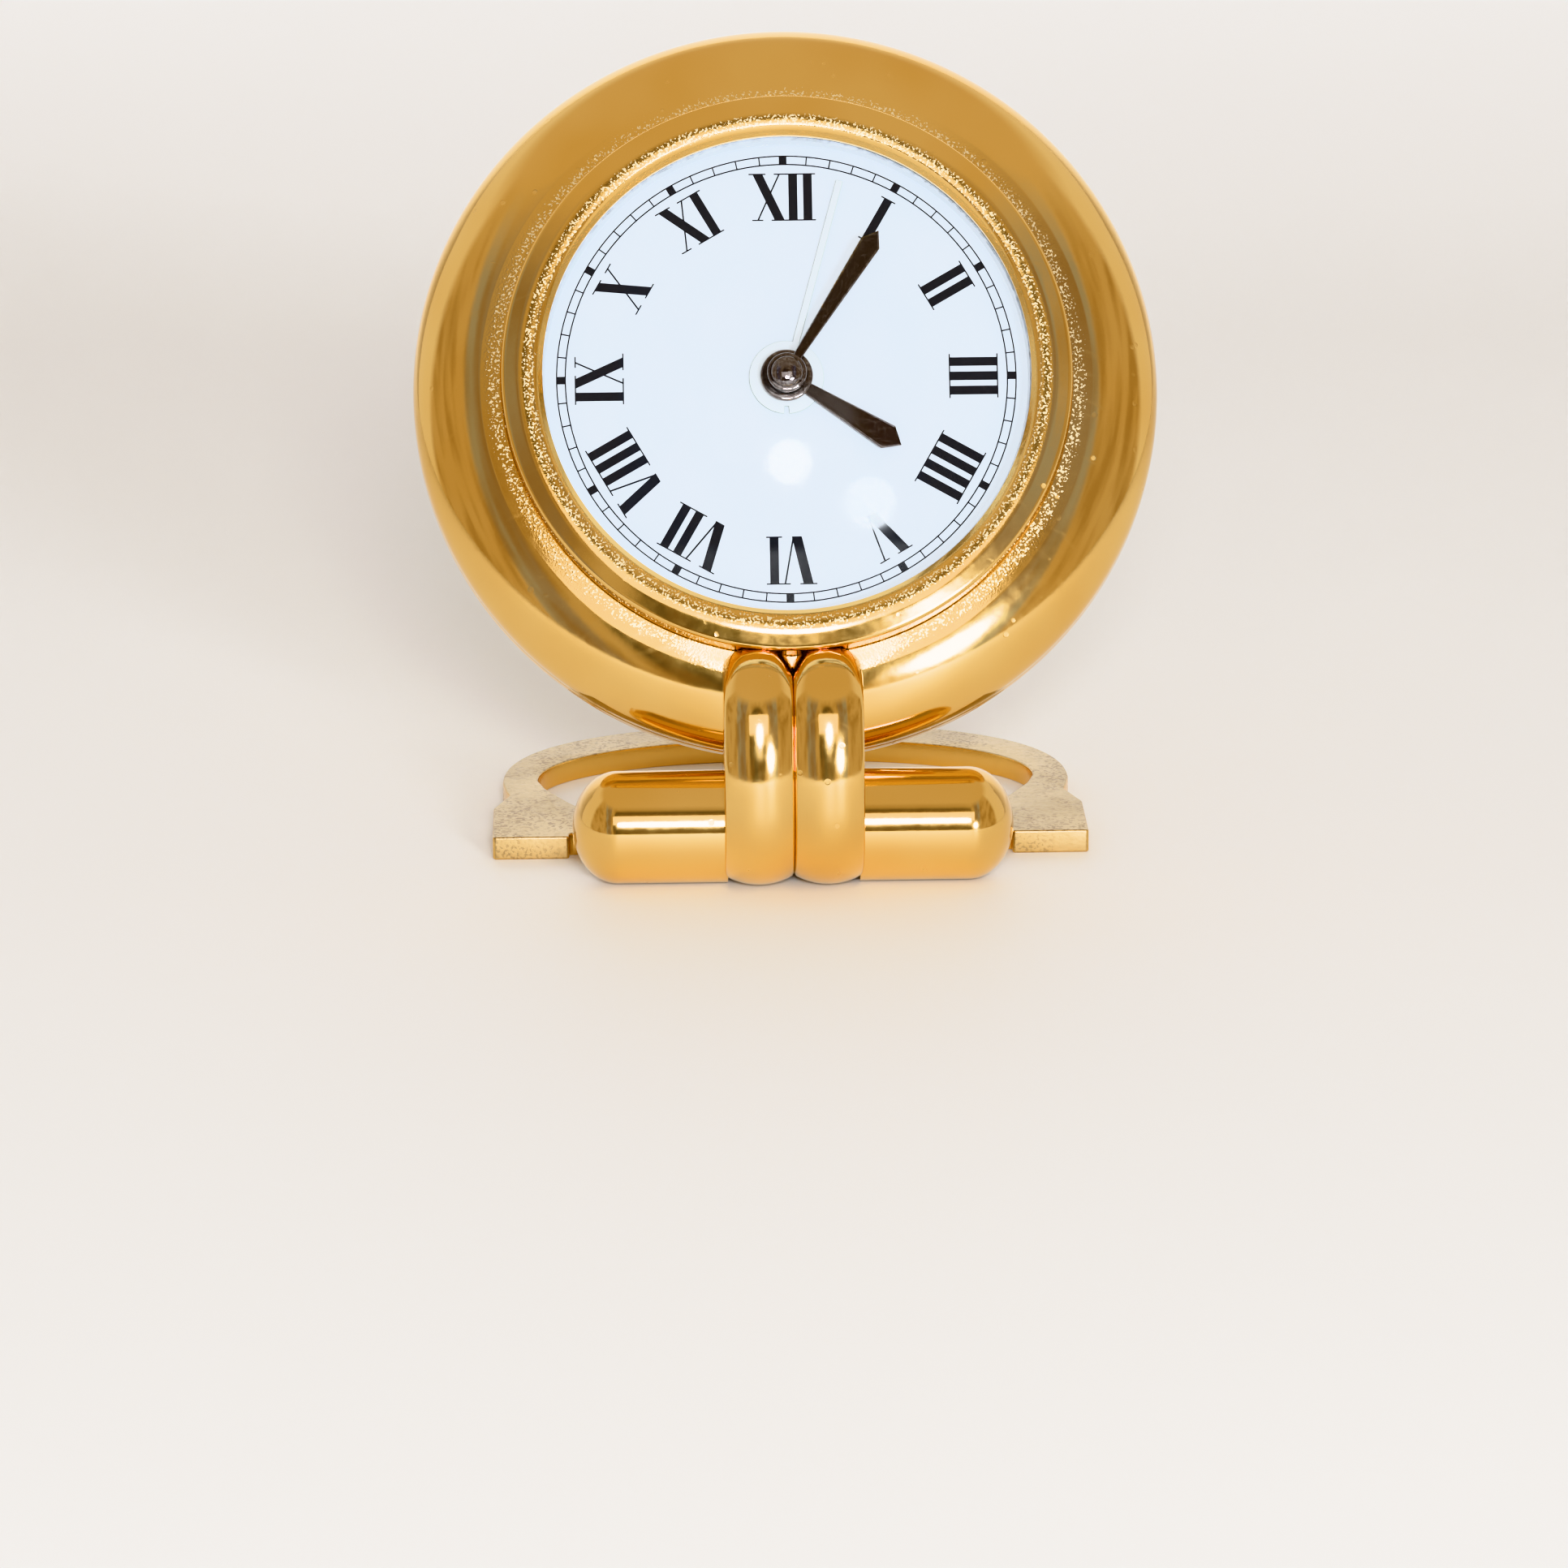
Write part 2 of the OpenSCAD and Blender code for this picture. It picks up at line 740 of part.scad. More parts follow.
module cover_gasket() {
    color(black_plastic) in_case() tube(cover_r - 0.05, cover_bore_r, cover_in_z, cover_in_z + gasket_t);
}

module cover_screws() {
    color(steel) in_case() for (turn = [45:90:315])
        rotate([0, 0, turn]) translate([cover_screw_at, 0, 0]) difference() {
            union() {
                rod(1.4, cover_out_z + 0.05, cover_out_z + 0.6);
                rod(0.8, cover_out_z + 0.6, -5.6);
            }
            slab(-2, 2, -0.2, 0.2, cover_out_z - 1, cover_out_z + 0.32);
        }
}

// ---- Hands and wheels ----

// A hand that widens to its shoulders and ends in a point; 12 o'clock is along Y
module lance_blade(length, shoulder, root_w, shoulder_w, z0, z1) {
    translate([0, 0, z0]) linear_extrude(z1 - z0) polygon([
        [-root_w / 2, 0], [root_w / 2, 0], [shoulder_w / 2, shoulder], [0, length], [-shoulder_w / 2, shoulder]
    ]);
}

module centre_arbor() {
    color(steel) in_case() {
        rod(arbor_r, bridge_z, minute_hand_z + 0.6);
        gear(cannon_z, work_m, plate_z + plate_h + 0.12, 3.55);
        gear(centre_z, train_m, 0.7, 1.2);
    }
}

module minute_hand() {
    color(blackened) in_case() rotate([0, 0, -minute_angle]) difference() {
        union() {
            lance_blade(minute_len, minute_len - 1.45, 0.7, 2, minute_hand_z + 0.1, minute_hand_z + 0.35);
            rod(1.86, minute_hand_z, minute_hand_z + 0.6);
        }
        rod(arbor_r, 0, 20);
    }
}

module minute_cap() {
    color(blackened) in_case() translate([0, 0, minute_hand_z + 0.6]) rotate_extrude()
        polygon(concat([[0, 0]], arc([0, 0], [1.5, 0.6], 0, 90, 10)));
}

module minute_wheel() {
    color(brass) in_case() at(minute_at) difference() {
        union() {
            gear(minute_z, work_m, plate_z + plate_h + 0.12, 3.4, minute_phase);
            gear(minute_pinion_z, hour_m, 3.4, 4.05);
        }
        rod(0.55, 0, 6);
    }
}

module hour_wheel() {
    color(brass) in_case() difference() {
        union() {
            gear(hour_z, hour_m, 3.65, 4.05, hour_phase);
            rod(hour_tube_r, 3.65, hour_hand_z + 0.55);
        }
        rod(arbor_r + run_gap, 0, 20);
    }
}

module hour_hand() {
    color(blackened) in_case() rotate([0, 0, -hour_angle]) difference() {
        union() {
            lance_blade(hour_len, hour_len - 1.45, 0.9, 2.5, hour_hand_z + 0.05, hour_hand_z + 0.3);
            rod(2.46, hour_hand_z, hour_hand_z + 0.5);
        }
        rod(hour_tube_r, 0, 20);
    }
}

module intermediate_wheel() {
    color(brass) in_case() at(inter_at) {
        rod(0.28, bridge_z, 2.2);
        gear(inter_z, train_m, -0.5, -0.1);
        gear(small_z, train_m, -0.1, 1.3, inter_phase);
    }
}

module rotor() {
    color(steel) in_case() at(rotor_at) {
        rod(0.24, bridge_z, 2.2);
        gear(small_z, train_m, -0.6, 0, rotor_phase);
        rod(1.6, -1.5, -0.6);
    }
}

module time_shaft() {
    color(steel) in_case() at(time_at) {
        rod(shaft_r, cover_out_z - knob_gap, 3.5);
        gear(cannon_z, work_m, plate_z + plate_h + 0.12, 3.4, time_phase);
    }
}

module alarm_shaft() {
    color(steel) in_case() at(alarm_at) {
        rod(shaft_r, cover_out_z - knob_gap, 4.8);
        gear(alarm_pinion_z, work_m, 4.2, 4.75, alarm_phase);
    }
}

module knob() {
    difference() {
        rod(knob_r, cover_out_z - knob_gap - knob_h, cover_out_z - knob_gap);
        for (i = [0:knob_flutes - 1])
            rotate([0, 0, i * 360 / knob_flutes]) translate([knob_r + 0.18, 0, 0]) rod(0.42, -20, 0);
        rod(1.5, -20, cover_out_z - knob_gap - knob_h + 0.4);
    }
}

module time_knob() {
    color(gold) in_case() at(time_at) knob();
}

module alarm_knob() {
    color(gold) in_case() at(alarm_at) knob();
}

module alarm_wheel() {
    color(brass) in_case() difference() {
        union() {
            gear(alarm_z, work_m, 4.25, 4.7);
            rod(alarm_tube_r, 4.25, alarm_disc_z + 0.3);
        }
        rod(hour_tube_r + run_gap, 0, 20);
    }
}

module alarm_hand() {
    color("#f1ead6") in_case() rotate([0, 0, -alarm_angle]) difference() {
        union() {
            rod(3.5, alarm_disc_z, alarm_disc_z + 0.2);
            slab(-0.33, 0.33, 0, alarm_len, alarm_disc_z, alarm_disc_z + 0.2);
        }
        rod(alarm_tube_r, 0, 20);
        rotate([0, 0, 195]) slab(-0.25, 0.25, 2.8, 4, 0, 20);
    }
}

// ---- Switch and hatch ----

module alarm_switch() {
    color(steel) in_case() at(switch_at) {
        slab(-1.5, 1.5, -1.1, 1.1, cover_out_z - 0.75, cover_out_z - 0.05);
        slab(-0.6, 0.6, -0.8, 0.8, cover_out_z - 0.05, cover_in_z + 0.1);
        slab(-1.8, 1.8, -1.5, 1.5, cover_in_z + 0.1, cover_in_z + 0.6);
    }
}

module lugs(r, sweep, z0, z1) {
    for (side = [0, 180])
        intersection() {
            rod(r, z0, z1);
            translate([0, 0, z0]) linear_extrude(z1 - z0) rotate(side) polygon([
                [0, 0], 12 * [cos(sweep / 2), sin(-sweep / 2)], 12 * [cos(sweep / 2), sin(sweep / 2)]
            ]);
        }
}

module battery_hatch() {
    color(gold) in_case() at(battery_at) difference() {
        union() {
            rod(hatch_r, cover_out_z, cover_in_z - 0.1);
            tube(hatch_r, cup_r + 0.1, cover_in_z - 0.1, cover_in_z + 0.5);
            difference() {
                lugs(lug_r, lug_arc, cover_in_z + 0.1, cover_in_z + 0.5);
                rod(cup_r + 0.1, -20, 0);
            }
        }
        slab(-4.5, 4.5, -0.8, 0.8, cover_out_z - 1, cover_out_z + 0.6);
    }
}

stirrup_stand();
hinge_pin();
friction_washers();
strap();
bar_left();
bar_right();
bar_axle();
case_front();
case_back();
bezel_ring();
crystal();
crystal_gasket();
dial_flange();
dial();
dial_numerals();
minute_track();
movement_ring();
main_plate();
wheel_post();
train_bridge();
bridge_screws();
circuit_board();
quartz_can();
driver_chip();
stator();
coil_core();
drive_coil();
alarm_contact();
sounder();
battery_cup();
battery();
contact_plus();
contact_minus();
back_cover();
cover_gasket();
cover_screws();
centre_arbor();
minute_hand();
minute_cap();
minute_wheel();
hour_wheel();
hour_hand();
intermediate_wheel();
rotor();
time_shaft();
time_knob();
alarm_wheel();
alarm_hand();
alarm_shaft();
alarm_knob();
alarm_switch();
battery_hatch();
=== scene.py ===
"""Looks of a travel alarm clock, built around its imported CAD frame.

Shapes of the case are drawn in the case's own frame, in millimetres: its origin is the
middle of the case, Y runs up the face and Z comes forward. Shapes of the foot are drawn
in a frame whose origin is on the table under the crossbar. Both come from the CAD.
"""

import json
import math

import bmesh
import bpy
from mathutils import Matrix, Vector

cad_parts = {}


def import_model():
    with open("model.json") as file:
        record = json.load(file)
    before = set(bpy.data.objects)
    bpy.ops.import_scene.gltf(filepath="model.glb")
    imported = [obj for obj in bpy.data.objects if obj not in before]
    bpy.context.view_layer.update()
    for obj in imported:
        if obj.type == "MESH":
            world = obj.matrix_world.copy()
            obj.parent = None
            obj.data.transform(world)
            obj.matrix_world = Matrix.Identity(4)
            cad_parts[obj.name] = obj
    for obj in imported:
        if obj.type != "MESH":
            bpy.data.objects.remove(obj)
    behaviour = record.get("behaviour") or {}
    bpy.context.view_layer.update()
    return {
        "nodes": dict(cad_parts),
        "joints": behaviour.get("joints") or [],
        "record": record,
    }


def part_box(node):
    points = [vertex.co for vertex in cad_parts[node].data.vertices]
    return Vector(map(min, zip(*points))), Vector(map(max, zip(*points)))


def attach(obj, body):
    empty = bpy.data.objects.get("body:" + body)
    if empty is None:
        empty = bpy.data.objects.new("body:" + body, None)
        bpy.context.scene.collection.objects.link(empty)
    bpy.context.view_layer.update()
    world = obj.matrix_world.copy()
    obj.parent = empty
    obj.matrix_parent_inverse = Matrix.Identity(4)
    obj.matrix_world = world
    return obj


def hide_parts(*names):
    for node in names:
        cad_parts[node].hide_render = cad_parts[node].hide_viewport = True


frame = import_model()

MM = 0.001

# Case, in millimetres
RIM_BAND = 0.6
FRONT_ROUND = (10.0, 5.4)
BACK_ROUND = (9.5, 9.2)
WALL = 1.6
BEZEL_R = 26.65
LAND_R = 28.7
LAND_TILT = 9.0
SEAT_Z = 5.2
LEDGE_R = 24.6
LEDGE_T = 1.0
COVER_R = 25.15
COVER_BORE_R = 24.3
COVER_OUT_Z = -10.5
COVER_SEAT = 0.8
FLOOR_T = 1.8
SPIGOT = (32.4, 33.1)
GAP = 0.05
SPLIT = 0.02
CRYSTAL_R = 24.0
LIP_R = 22.8
LIP_Z = 7.7
FLANGE_Z = 6.5
GASKET_T = 0.3
DOME_R = 50.0
DOME_T = 1.2
CREST = (24.4, 8.85)
CREST_ROUND = 3.7
BEZEL_EDGE = 0.4
BEZEL_EDGE_Z = 8.08
CASE_STEPS = 320

# Foot, in millimetres
BAR_Z = 5.3
BAR_HALF = 20.55
BAR_DOME = 4.25
BAR_R = 5.25
RIB_W = 6.45
CROWN_R = 6.3
LOW_WHEEL = (-0.4, 8.8)
LOW_R = 8.8
LONG_R = 26.0
TOP_R = 7.8
LOW_DIR = 179.1
TOP_DIR = 160.8
PIN_AT = (11.2, 2.2)
KNUCKLE_R = 2.1
KNUCKLE_HALF = 6.4
EAR_IN = 6.7
EAR_OUT = 9.7
PLATE_T = 2.2


# ---- Frames ----


def joint(name):
    return next(j for j in frame["joints"] if j["name"] == name)


def case_frame():
    """Millimetres of the case's own frame to metres of the row frame."""
    spin = joint("minute_turn")
    forward = Vector(spin["axis"]).normalized()
    right = Vector((1, 0, 0))
    turned = Matrix((right, forward.cross(right), forward)).transposed().to_4x4()
    return Matrix.Translation(Vector(spin["pos_m"])) @ turned @ Matrix.Scale(MM, 4)


def foot_frame():
    """Millimetres behind and above the table under the bar to metres of the row frame."""
    low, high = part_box("bar_left")
    return Matrix.Translation((0, (low.y + high.y) / 2, 0)) @ Matrix.Scale(MM, 4)


def middle_of(node, place):
    """The middle of a CAD node's box, in the millimetres of a frame."""
    points = [place.inverted() @ v.co for v in frame["nodes"][node].data.vertices]
    return [
        (min(p[i] for p in points) + max(p[i] for p in points)) / 2 for i in range(3)
    ]


def hand_turn(node):
    """The rotation that puts a hand drawn at 12 o'clock where its CAD node points."""
    inverse = CASE.inverted()
    points = [inverse @ v.co for v in frame["nodes"][node].data.vertices]
    reach = max(math.hypot(p.x, p.y) for p in points)
    tips = [p for p in points if math.hypot(p.x, p.y) > reach - 0.2]
    tip = sum(tips, Vector()) / len(tips)
    return Matrix.Rotation(math.atan2(tip.y, tip.x) - math.pi / 2, 4, "Z")


CASE = case_frame()
FOOT = foot_frame()


# ---- Outlines ----


def arc(centre, radii, start, end, steps):
    """Points of an elliptical arc, with angles in degrees."""
    turns = [math.radians(start + (end - start) * i / steps) for i in range(steps + 1)]
    return [
        (centre[0] + radii[0] * math.cos(t), centre[1] + radii[1] * math.sin(t))
        for t in turns
    ]


def rounded(points, radius, steps=5):
    """A closed outline with its corners rounded. A point's third number is its own radius."""
    result = []
    count = len(points)
    for i, point in enumerate(points):
        here = Vector(point[:2])
        before = Vector(points[i - 1][:2]) - here
        after = Vector(points[(i + 1) % count][:2]) - here
        r = point[2] if len(point) > 2 else radius
        half = before.angle(after) / 2
        if r <= 0 or half > math.radians(86):
            result.append(tuple(here))
            continue
        reach = r / math.tan(half)
        room = 0.45 * min(before.length, after.length)
        if reach > room:
            r, reach = r * room / reach, room
        start = here + before.normalized() * reach
        end = here + after.normalized() * reach
        centre = here + (before.normalized() + after.normalized()).normalized() * (
            r / math.sin(half)
        )
        a, b = start - centre, end - centre
        sweep = a.angle_signed(b)
        for k in range(steps + 1):
            turned = Matrix.Rotation(-sweep * k / steps, 2) @ a
            result.append(tuple(centre + turned))
    return result


def dense(points, longest, closed=True):
    """The same outline with its long straight runs split."""
    result = []
    pairs = list(zip(points, points[1:] + points[:1]))
    for a, b in pairs if closed else pairs[:-1]:
        parts = max(1, math.ceil(math.dist(a, b) / longest))
        for k in range(parts):
            t = k / parts
            result.append((a[0] + (b[0] - a[0]) * t, a[1] + (b[1] - a[1]) * t))
    return result if closed else result + [points[-1]]


# ---- Mesh building ----


def revolve(bm, profile, steps, flute=None):
    """Turns a closed (radius, height) outline about Z. flute(angle, r) may change a radius."""
    rings = []
    for r, z in profile:
        if r < 1e-6:
            rings.append([bm.verts.new((0, 0, z))])
            continue
        ring = []
        for i in range(steps):
            turn = 2 * math.pi * i / steps
            reach = flute(turn, r) if flute else r
            ring.append(bm.verts.new((reach * math.cos(turn), reach * math.sin(turn), z)))
        rings.append(ring)
    for a, b in zip(rings, rings[1:] + rings[:1]):
        if len(a) == 1 and len(b) == 1:
            continue
        for i in range(steps):
            j = (i + 1) % steps
            corners = [a[i % len(a)], a[j % len(a)], b[j % len(b)], b[i % len(b)]]
            bm.faces.new(list(dict.fromkeys(corners)))


def prism(bm, outline, low, high, edge=0.0, segments=3):
    """Extrudes a flat outline along Z, with its top and bottom edges rounded."""
    face = bm.faces.new([bm.verts.new((x, y, low)) for x, y in outline])
    lifted = bmesh.ops.extrude_face_region(bm, geom=[face])["geom"]
    verts = [v for v in lifted if isinstance(v, bmesh.types.BMVert)]
    bmesh.ops.translate(bm, verts=verts, vec=(0, 0, high - low))
    if edge > 0:
        rims = [
            e
            for e in bm.edges
            if abs(e.verts[0].co.z - e.verts[1].co.z) < 1e-6
            and any(abs(f.normal.z) > 0.9 for f in e.link_faces)
        ]
        bm.normal_update()
        bmesh.ops.bevel(
            bm,
            geom=rims,
            offset=edge,
            segments=segments,
            profile=0.5,
            affect="EDGES",
            clamp_overlap=True,
        )


def add_piece(name, bm, place, body, material, replaces=(), crease=32, finish_and_painted_light=None):
    """Makes a named piece of a mesh drawn in place's millimetres. finish_and_painted_light(point)
    gives its finish and where painted light and shade go on it.
    """
    bmesh.ops.remove_doubles(bm, verts=bm.verts, dist=1e-5)
    bmesh.ops.recalc_face_normals(bm, faces=bm.faces)
    mesh = bpy.data.meshes.new(name)
    bm.to_mesh(mesh)
    bm.free()
    if finish_and_painted_light:
        layer = mesh.attributes.new("finish_and_painted_light", "FLOAT", "POINT")
        layer.data.foreach_set("value", [finish_and_painted_light(v.co) for v in mesh.vertices])
    mesh.transform(place)
    mesh.shade_smooth()
    mesh.set_sharp_from_angle(angle=math.radians(crease))
    piece = bpy.data.objects.new(name, mesh)
    bpy.context.scene.collection.objects.link(piece)
    piece.data.materials.append(material)
    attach(piece, body)
    if replaces:
        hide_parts(*replaces)
    return piece


def band(value, low, high, soft):
    """1 between low and high, fading to 0 over soft outside them."""
    return max(0.0, min(1.0, (value - low) / soft + 1, (high - value) / soft + 1))


# ---- Materials ----


class Graph:
    """A node tree of a material or a world, with short calls for what is needed here."""

    def __init__(self, name, owner=None):
        self.owner = owner or bpy.data.materials.new(name)
        self.owner.use_nodes = True
        self.tree = self.owner.node_tree
        self.tree.nodes.clear()
        where = "Generated" if owner else "Object"
        self.spot = self.node("ShaderNodeTexCoord").outputs[where]

    def node(self, kind, **values):
        made = self.tree.nodes.new(kind)
        for key, value in values.items():
            setattr(made, key, value)
        return made

    def feed(self, node, **inputs):
        for key, value in inputs.items():
            socket = node.inputs[key.replace("_", " ")]
            if isinstance(value, bpy.types.NodeSocket):
                self.tree.links.new(value, socket)
            else:
                socket.default_value = value
        return node

    def noise(self, scale, detail=3.0, rough=0.5, spot=None):
        made = self.feed(
            self.node("ShaderNodeTexNoise"),
            Vector=spot or self.spot,
            Scale=scale,
            Detail=detail,
            Roughness=rough,
        )
        return made.outputs["Fac"]

    def stretched(self, scale, turn=(0, 0, 0)):
        made = self.node("ShaderNodeMapping")
        self.tree.links.new(self.spot, made.inputs["Vector"])
        made.inputs["Scale"].default_value = scale
        made.inputs["Rotation"].default_value = turn
        return made.outputs["Vector"]

    def cells(self, scale):
        made = self.feed(self.node("ShaderNodeTexVoronoi"), Vector=self.spot, Scale=scale)
        return made.outputs["Distance"]

    def span(self, value, low, high, to_low, to_high):
        made = self.node("ShaderNodeMapRange")
        self.tree.links.new(value, made.inputs[0])
        for i, number in enumerate((low, high, to_low, to_high)):
            made.inputs[i + 1].default_value = number
        return made.outputs[0]

    def math(self, operation, a, b):
        made = self.node("ShaderNodeMath", operation=operation)
        for i, value in enumerate((a, b)):
            if isinstance(value, bpy.types.NodeSocket):
                self.tree.links.new(value, made.inputs[i])
            else:
                made.inputs[i].default_value = value
        return made.outputs[0]

    def blend(self, fac, a, b):
        made = self.node("ShaderNodeMix", data_type="RGBA")
        for index, value in ((0, fac), (6, a), (7, b)):
            if isinstance(value, bpy.types.NodeSocket):
                self.tree.links.new(value, made.inputs[index])
            elif index == 0:
                made.inputs[index].default_value = value
            else:
                made.inputs[index].default_value = (*value, 1.0)
        return made.outputs[2]

    def attribute(self, name):
        return self.node("ShaderNodeAttribute", attribute_name=name).outputs["Fac"]

    def bump(self, height, strength, distance, normal=None):
        made = self.feed(
            self.node("ShaderNodeBump"),
            Height=height,
            Strength=strength,
            Distance=distance,
        )
        if normal:
            self.tree.links.new(normal, made.inputs["Normal"])
        return made.outputs["Normal"]

    def principled(self, **inputs):
        made = self.feed(self.node("ShaderNodeBsdfPrincipled"), **inputs)
        return self.finish(made.outputs["BSDF"])

    def finish(self, shader):
        room = isinstance(self.owner, bpy.types.World)
        output = self.node("ShaderNodeOutputWorld" if room else "ShaderNodeOutputMaterial")
        self.tree.links.new(shader, output.inputs["Surface"])
        return self.owner


def gold(name, light, deep, rough, peel):
    """Gold plating: slow colour drift, orange peel, hairlines and pits, with rough grains
    where the finish_and_painted_light mask is 1, painted pale cream as painted glints, and a matt
    ground too where it is 2."""
    g = Graph(name)
    finish_and_painted_light = g.attribute("finish_and_painted_light")
    drift = g.span(g.noise(70, 2.0), 0.35, 0.65, 0.0, 1.0)
    colour = g.blend(drift, light, deep)
    hair = g.noise(140, 2.0, spot=g.stretched((1.0, 14.0, 3.0), (0.4, 0.3, 0.9)))
    fine = g.span(hair, 0.62, 0.72, 0.0, 1.0)
    pits = g.span(g.cells(520), 0.10, 0.16, 1.0, 0.0)
    patches = g.span(g.noise(260, 2.0), 0.52, 0.62, 0.0, 1.0)
    pits = g.math("MULTIPLY", pits, patches)
    grain = g.noise(4800, 1.5)
    grains_and_painted_glints = g.math("ADD", grain, g.span(finish_and_painted_light, 0.0, 1.0, -0.3, 0.0))
    grains_and_painted_glints = g.span(grains_and_painted_glints, 0.56, 0.59, 0.0, 1.0)
    # Painted glints: the grains are painted pale cream as well as made rougher, standing in for
    # the sparkle of the lamp by the camera.
    colour = g.blend(grains_and_painted_glints, colour, (0.97, 0.81, 0.50))
    base = g.span(g.noise(900, 3.0), 0.3, 0.7, rough, rough + 0.04)
    base = g.math("ADD", base, g.math("MULTIPLY", fine, 0.05))
    base = g.math("ADD", base, g.math("MULTIPLY", pits, 0.25))
    base = g.math("ADD", base, g.math("MULTIPLY", grains_and_painted_glints, 0.26))
    base = g.math("ADD", base, g.span(finish_and_painted_light, 1.0, 2.0, 0.0, 0.24))
    normal = g.bump(g.noise(650, 2.0), peel, 0.00002)
    normal = g.bump(pits, 0.35, -0.00003, normal)
    normal = g.bump(g.math("MULTIPLY", grain, finish_and_painted_light), 0.2, 0.00005, normal)
    return g.principled(
        Base_Color=colour,
        Metallic=1.0,
        Roughness=base,
        Normal=normal,
        Coat_Weight=0.3,
        Coat_Roughness=0.04,
    )


def satin_gold(name, light, deep):
    """Pale gold with a fine matt grain, and dark specks in patches where frosted."""
    g = Graph(name)
    finish_and_painted_light = g.attribute("finish_and_painted_light")
    colour = g.blend(g.span(g.noise(120, 2.0), 0.35, 0.65, 0.0, 1.0), light, deep)
    colour = g.blend(finish_and_painted_light, GOLD_DEEP, colour)
    patches = g.span(g.noise(230, 3.0), 0.40, 0.55, 0.2, 1.0)
    grain = g.noise(2900, 2.0)
    specks = g.span(grain, 0.42, 0.48, 1.0, 0.0)
    specks = g.math("MULTIPLY", g.math("MULTIPLY", specks, patches), finish_and_painted_light)
    colour = g.blend(g.math("MULTIPLY", specks, 0.8), colour, (0.26, 0.17, 0.09))
    base = g.span(g.noise(1300, 3.0), 0.3, 0.7, 0.14, 0.22)
    base = g.math("ADD", base, g.math("MULTIPLY", finish_and_painted_light, 0.22))
    normal = g.bump(g.noise(1500, 2.0), 0.25, 0.00004)
    normal = g.bump(g.math("MULTIPLY", grain, finish_and_painted_light), 0.5, 0.00005, normal)
    return g.principled(Base_Color=colour, Metallic=1.0, Roughness=base, Normal=normal)


def nickel(name):
    """Black nickel of the hands: dark and glossy, with fine pale scratches and specks."""
    g = Graph(name)
    colour = g.blend(g.noise(1200, 3.0), (0.24, 0.205, 0.185), (0.15, 0.125, 0.115))
    one = g.noise(900, 1.0, spot=g.stretched((1.0, 12.0, 1.0), (0.0, 0.0, 0.7)))
    two = g.noise(800, 1.0, spot=g.stretched((10.0, 1.0, 1.0), (0.0, 0.0, 0.3)))
    worn = g.math("MAXIMUM", g.span(one, 0.61, 0.64, 0.0, 0.5), g.span(two, 0.62, 0.65, 0.0, 0.5))
    worn = g.math("MAXIMUM", worn, g.span(g.noise(5000, 1.0), 0.62, 0.68, 0.0, 0.7))
    colour = g.blend(worn, colour, (0.42, 0.39, 0.36))
    base = g.span(worn, 0.0, 1.0, 0.05, 0.17)
    normal = g.bump(g.noise(1800, 2.0), 0.1, 0.00002)
    return g.principled(Base_Color=colour, Metallic=1.0, Roughness=base, Normal=normal)


def metal(name, light, deep, rough, scale=500):
    """A plain metal: two tones, cloudy roughness and a fine grain."""
    g = Graph(name)
    colour = g.blend(g.span(g.noise(scale, 3.0), 0.35, 0.65, 0.0, 1.0), light, deep)
    hair = g.noise(300, 2.0, spot=g.stretched((1.0, 12.0, 2.0), (0.2, 0.5, 0.8)))
    base = g.span(hair, 0.3, 0.75, rough, rough + 0.16)
    normal = g.bump(g.noise(2600, 2.0), 0.12, 0.00003)
    return g.principled(Base_Color=colour, Metallic=1.0, Roughness=base, Normal=normal)


def brushed(name, light, deep, rough):
    """Metal turned on a lathe or drawn one way, with fine parallel lines."""
    g = Graph(name)
    lines = g.noise(900, 3.0, spot=g.stretched((0.05, 2.0, 2.0)))
    colour = g.blend(g.span(lines, 0.3, 0.7, 0.0, 1.0), light, deep)
    base = g.span(lines, 0.3, 0.7, rough, rough + 0.12)
    normal = g.bump(lines, 0.2, 0.00003)
    return g.principled(Base_Color=colour, Metallic=1.0, Roughness=base, Normal=normal)


def plastic(name, light, deep, rough, grain=0.2):
    """Moulded plastic or rubber: two close tones and a fine grain."""
    g = Graph(name)
    colour = g.blend(g.span(g.noise(900, 4.0), 0.35, 0.65, 0.0, 1.0), light, deep)
    base = g.span(g.noise(1500, 2.0), 0.3, 0.7, rough, rough + 0.12)
    normal = g.bump(g.noise(2800, 2.0), grain, 0.00004)
    return g.principled(Base_Color=colour, Roughness=base, Normal=normal)


def enamel(name):
    """White lacquer of the dial, with a trace of unevenness and dust."""
    g = Graph(name)
    cloud = g.span(g.noise(160, 4.0), 0.3, 0.7, 0.0, 1.0)
    colour = g.blend(cloud, (0.73, 0.78, 0.81), (0.76, 0.80, 0.83))
    dust = g.span(g.cells(900), 0.02, 0.05, 1.0, 0.0)
    colour = g.blend(g.math("MULTIPLY", dust, 0.12), colour, (0.45, 0.45, 0.47))
    base = g.span(g.noise(700, 2.0), 0.3, 0.7, 0.32, 0.42)
    normal = g.bump(g.noise(1100, 2.0), 0.05, 0.00002)
    return g.principled(
        Base_Color=colour, Roughness=base, Normal=normal, Coat_Weight=0.2, Coat_Roughness=0.12
    )


